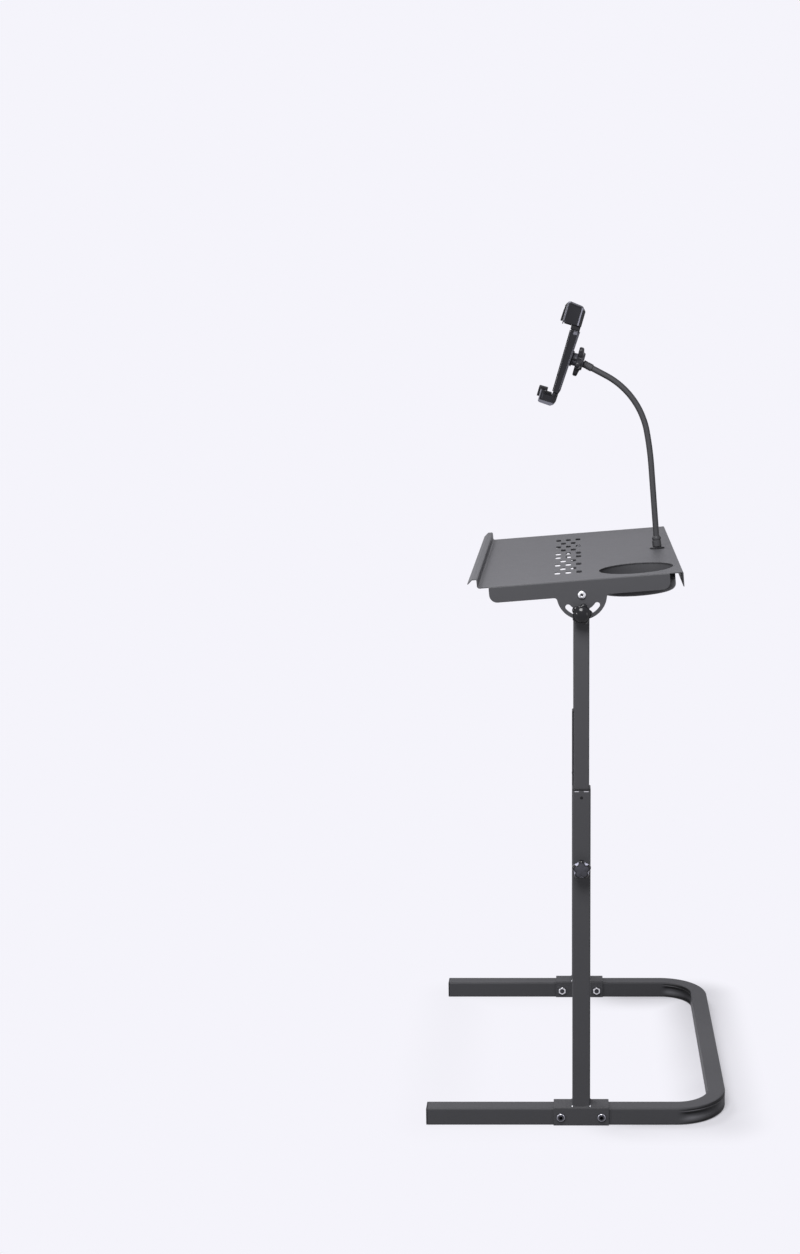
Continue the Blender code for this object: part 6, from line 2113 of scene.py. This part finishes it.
@dataclass
class Studio:
    """A pale floor, plain soft light and the camera."""

    backdrop: Colour = (0.913, 0.905, 0.965, 1.0)
    # Darker than the backdrop, so the floor near the foot carries a painted shadow besides its real
    # shading.
    lit: Colour = (0.70, 0.693, 0.74, 1.0)
    bounce: Colour = (0.20, 0.20, 0.21, 1.0)
    ambient: float = 0.16
    shadow_left: float = 0.12
    shadow_right: float = 0.62
    fade: float = 0.10
    lens: float = 54.09
    shift: float = -0.1353
    stand: Triple = (-0.0134, -3.297, 1.3635)
    pitch: float = 80.26

    def camera(self) -> None:
        """Place the camera at the photograph's angle."""
        lens = bpy.data.cameras.new("view")
        lens.lens = self.lens
        lens.shift_x = self.shift
        lens.clip_end = 100
        made = put_in_scene("view", lens)
        made.location = self.stand
        made.rotation_euler = (math.radians(self.pitch), 0, 0)
        bpy.context.scene.camera = made

    def lamp(self, name: str, place: Sequence[float], size: tuple[float, float], power: float,
            height: float = 0.6) -> None:
        """Add a soft box of a width and a length that faces the stand at a height."""
        light = bpy.data.lights.new(name, "AREA")
        light.shape = "RECTANGLE"
        light.size, light.size_y = size
        light.energy = power
        made = put_in_scene(name, light)
        made.location = place
        aim = Vector((0, 0, height)) - Vector(place)
        made.rotation_euler = aim.to_track_quat("-Z", "Y").to_euler()

    def seen(self, paint: Paint) -> Ink:
        """Return 1 on camera, mirror and glass rays."""
        rays = [paint.node("ShaderNodeLightPath", output=name)
            for name in ("Is Camera Ray", "Is Glossy Ray", "Is Transmission Ray")]
        return (rays[0] + rays[1] + rays[2]).above(0.5)

    def blend(self, paint: Paint, weight: Ink, first: Ink, second: Ink) -> Ink:
        """Return a shader that goes from the first to the second as the weight grows."""
        return paint.node("ShaderNodeMixShader", {}, {0: weight, 1: first, 2: second})

    def world(self) -> None:
        """Make the world: the backdrop's colour where seen, plain light elsewhere."""
        paint = Paint("studio", world=True)
        bpy.context.scene.world = paint.material
        paint.shader.inputs["Color"].default_value = (1, 1, 1, 1)
        paint.shader.inputs["Strength"].default_value = self.ambient
        pale = paint.node("ShaderNodeBackground", {}, {"Color": self.backdrop, "Strength": 1.0})
        mix = self.blend(paint, self.seen(paint), Ink(paint, paint.shader.outputs[0]), pale)
        paint.tree.links.new(mix.socket, paint.tree.nodes["World Output"].inputs[0])

    def shading(self, paint: Paint) -> Ink:
        """Return the weight of the floor's darker lit part, only near the foot: real shading plus a
        painted shadow.

        With a and b the half sides of the rails' rectangle in plan and q = (|x| - a, |y| - b),
        the distance from the rails is |length(max(q, 0)) + min(max(q), 0)|, and the weight falls
        smoothly with it.

        Args:
            paint: The floor's material.

        Returns:
            The weight, larger at the closed end of the foot.
        """
        x = paint.node("ShaderNodeSeparateXYZ", {}, {0: paint.coordinates()}, "X")
        y = paint.node("ShaderNodeSeparateXYZ", {}, {0: paint.coordinates()}, "Y")
        across = x.apply("ABSOLUTE") - (PLAN.base_length - PLAN.tube) / 2
        along = y.apply("ABSOLUTE") - PLAN.rail_y
        past_x, past_y = across.apply("MAXIMUM"), along.apply("MAXIMUM")
        outside = (past_x * past_x + past_y * past_y).apply("SQRT")
        distance = (outside + across.apply("MAXIMUM", along).apply("MINIMUM")).apply("ABSOLUTE")
        smooth = {"interpolation_type": "SMOOTHSTEP"}
        near = paint.node("ShaderNodeMapRange", smooth, {"Value": distance, "From Min": 0.0,
            "From Max": self.fade, "To Min": 1.0, "To Max": 0.0})
        return near * paint.node("ShaderNodeMapRange", smooth,
            {"Value": x, "From Min": -0.02, "From Max": 0.12, "To Min": self.shadow_left,
            "To Max": self.shadow_right})

    def floor(self) -> None:
        """Lay the floor: the backdrop's colour, blended near the foot into a darker lit diffuse that shows
        part of the real shadow and adds a painted shadow.
        """
        paint = Paint("floor_finish")
        paint.shade(Base_Color=self.bounce, Roughness=0.9, Metallic=0.0)
        glow = paint.node("ShaderNodeEmission", {}, {"Color": self.backdrop, "Strength": 1.0})
        lit = paint.node("ShaderNodeBsdfDiffuse", {}, {"Color": self.lit})
        pale = self.blend(paint, self.shading(paint), glow, lit)
        look = self.blend(paint, self.seen(paint), Ink(paint, paint.shader.outputs[0]), pale)
        paint.tree.links.new(look.socket, paint.tree.nodes["Material Output"].inputs[0])
        side = np.linspace(-7.0, 7.0, 15)
        mesh = Skin("floor").grid(plot(side[:, None], side, -0.0004), wrap_v=False).mesh()
        mesh.materials.append(paint.material)
        put_in_scene("floor", mesh)

    def build(self) -> None:
        """Set up the whole studio."""
        self.camera()
        self.world()
        self.floor()
        self.lamp("key", (-0.3, -1.45, 2.3), (0.9, 0.9), 48.0, 0.6)
        self.lamp("over", (-1.3, 0.9, 2.6), (1.0, 1.0), 26.0, 0.2)
        self.lamp("left strip", (-2.5, -1.96, 1.16), (0.4, 0.5), 18.0, 1.0)
        self.lamp("right strip", (2.53, -1.93, 0.91), (0.4, 1.0), 8.0, 0.8)
        scene = bpy.context.scene
        scene.view_settings.view_transform = "Standard"


def main() -> None:
    """Build the stand's sub-assemblies in order and report each piece."""
    logging.basicConfig(level=logging.INFO, format="%(message)s")
    Studio().build()
    WARDROBE.dress_nodes(frame["nodes"], frame["record"])
    neck = Gooseneck()
    for group in (Base(), Sleeves(), Posts(), Tray(), neck, Holder(neck)):
        for piece in group.build():
            count = sum(len(face.vertices) - 2 for face in piece.data.polygons)
            LOG.info("%s: %s, %d triangles", type(group).__name__, piece.name, count)


if __name__ == "__main__":
    main()
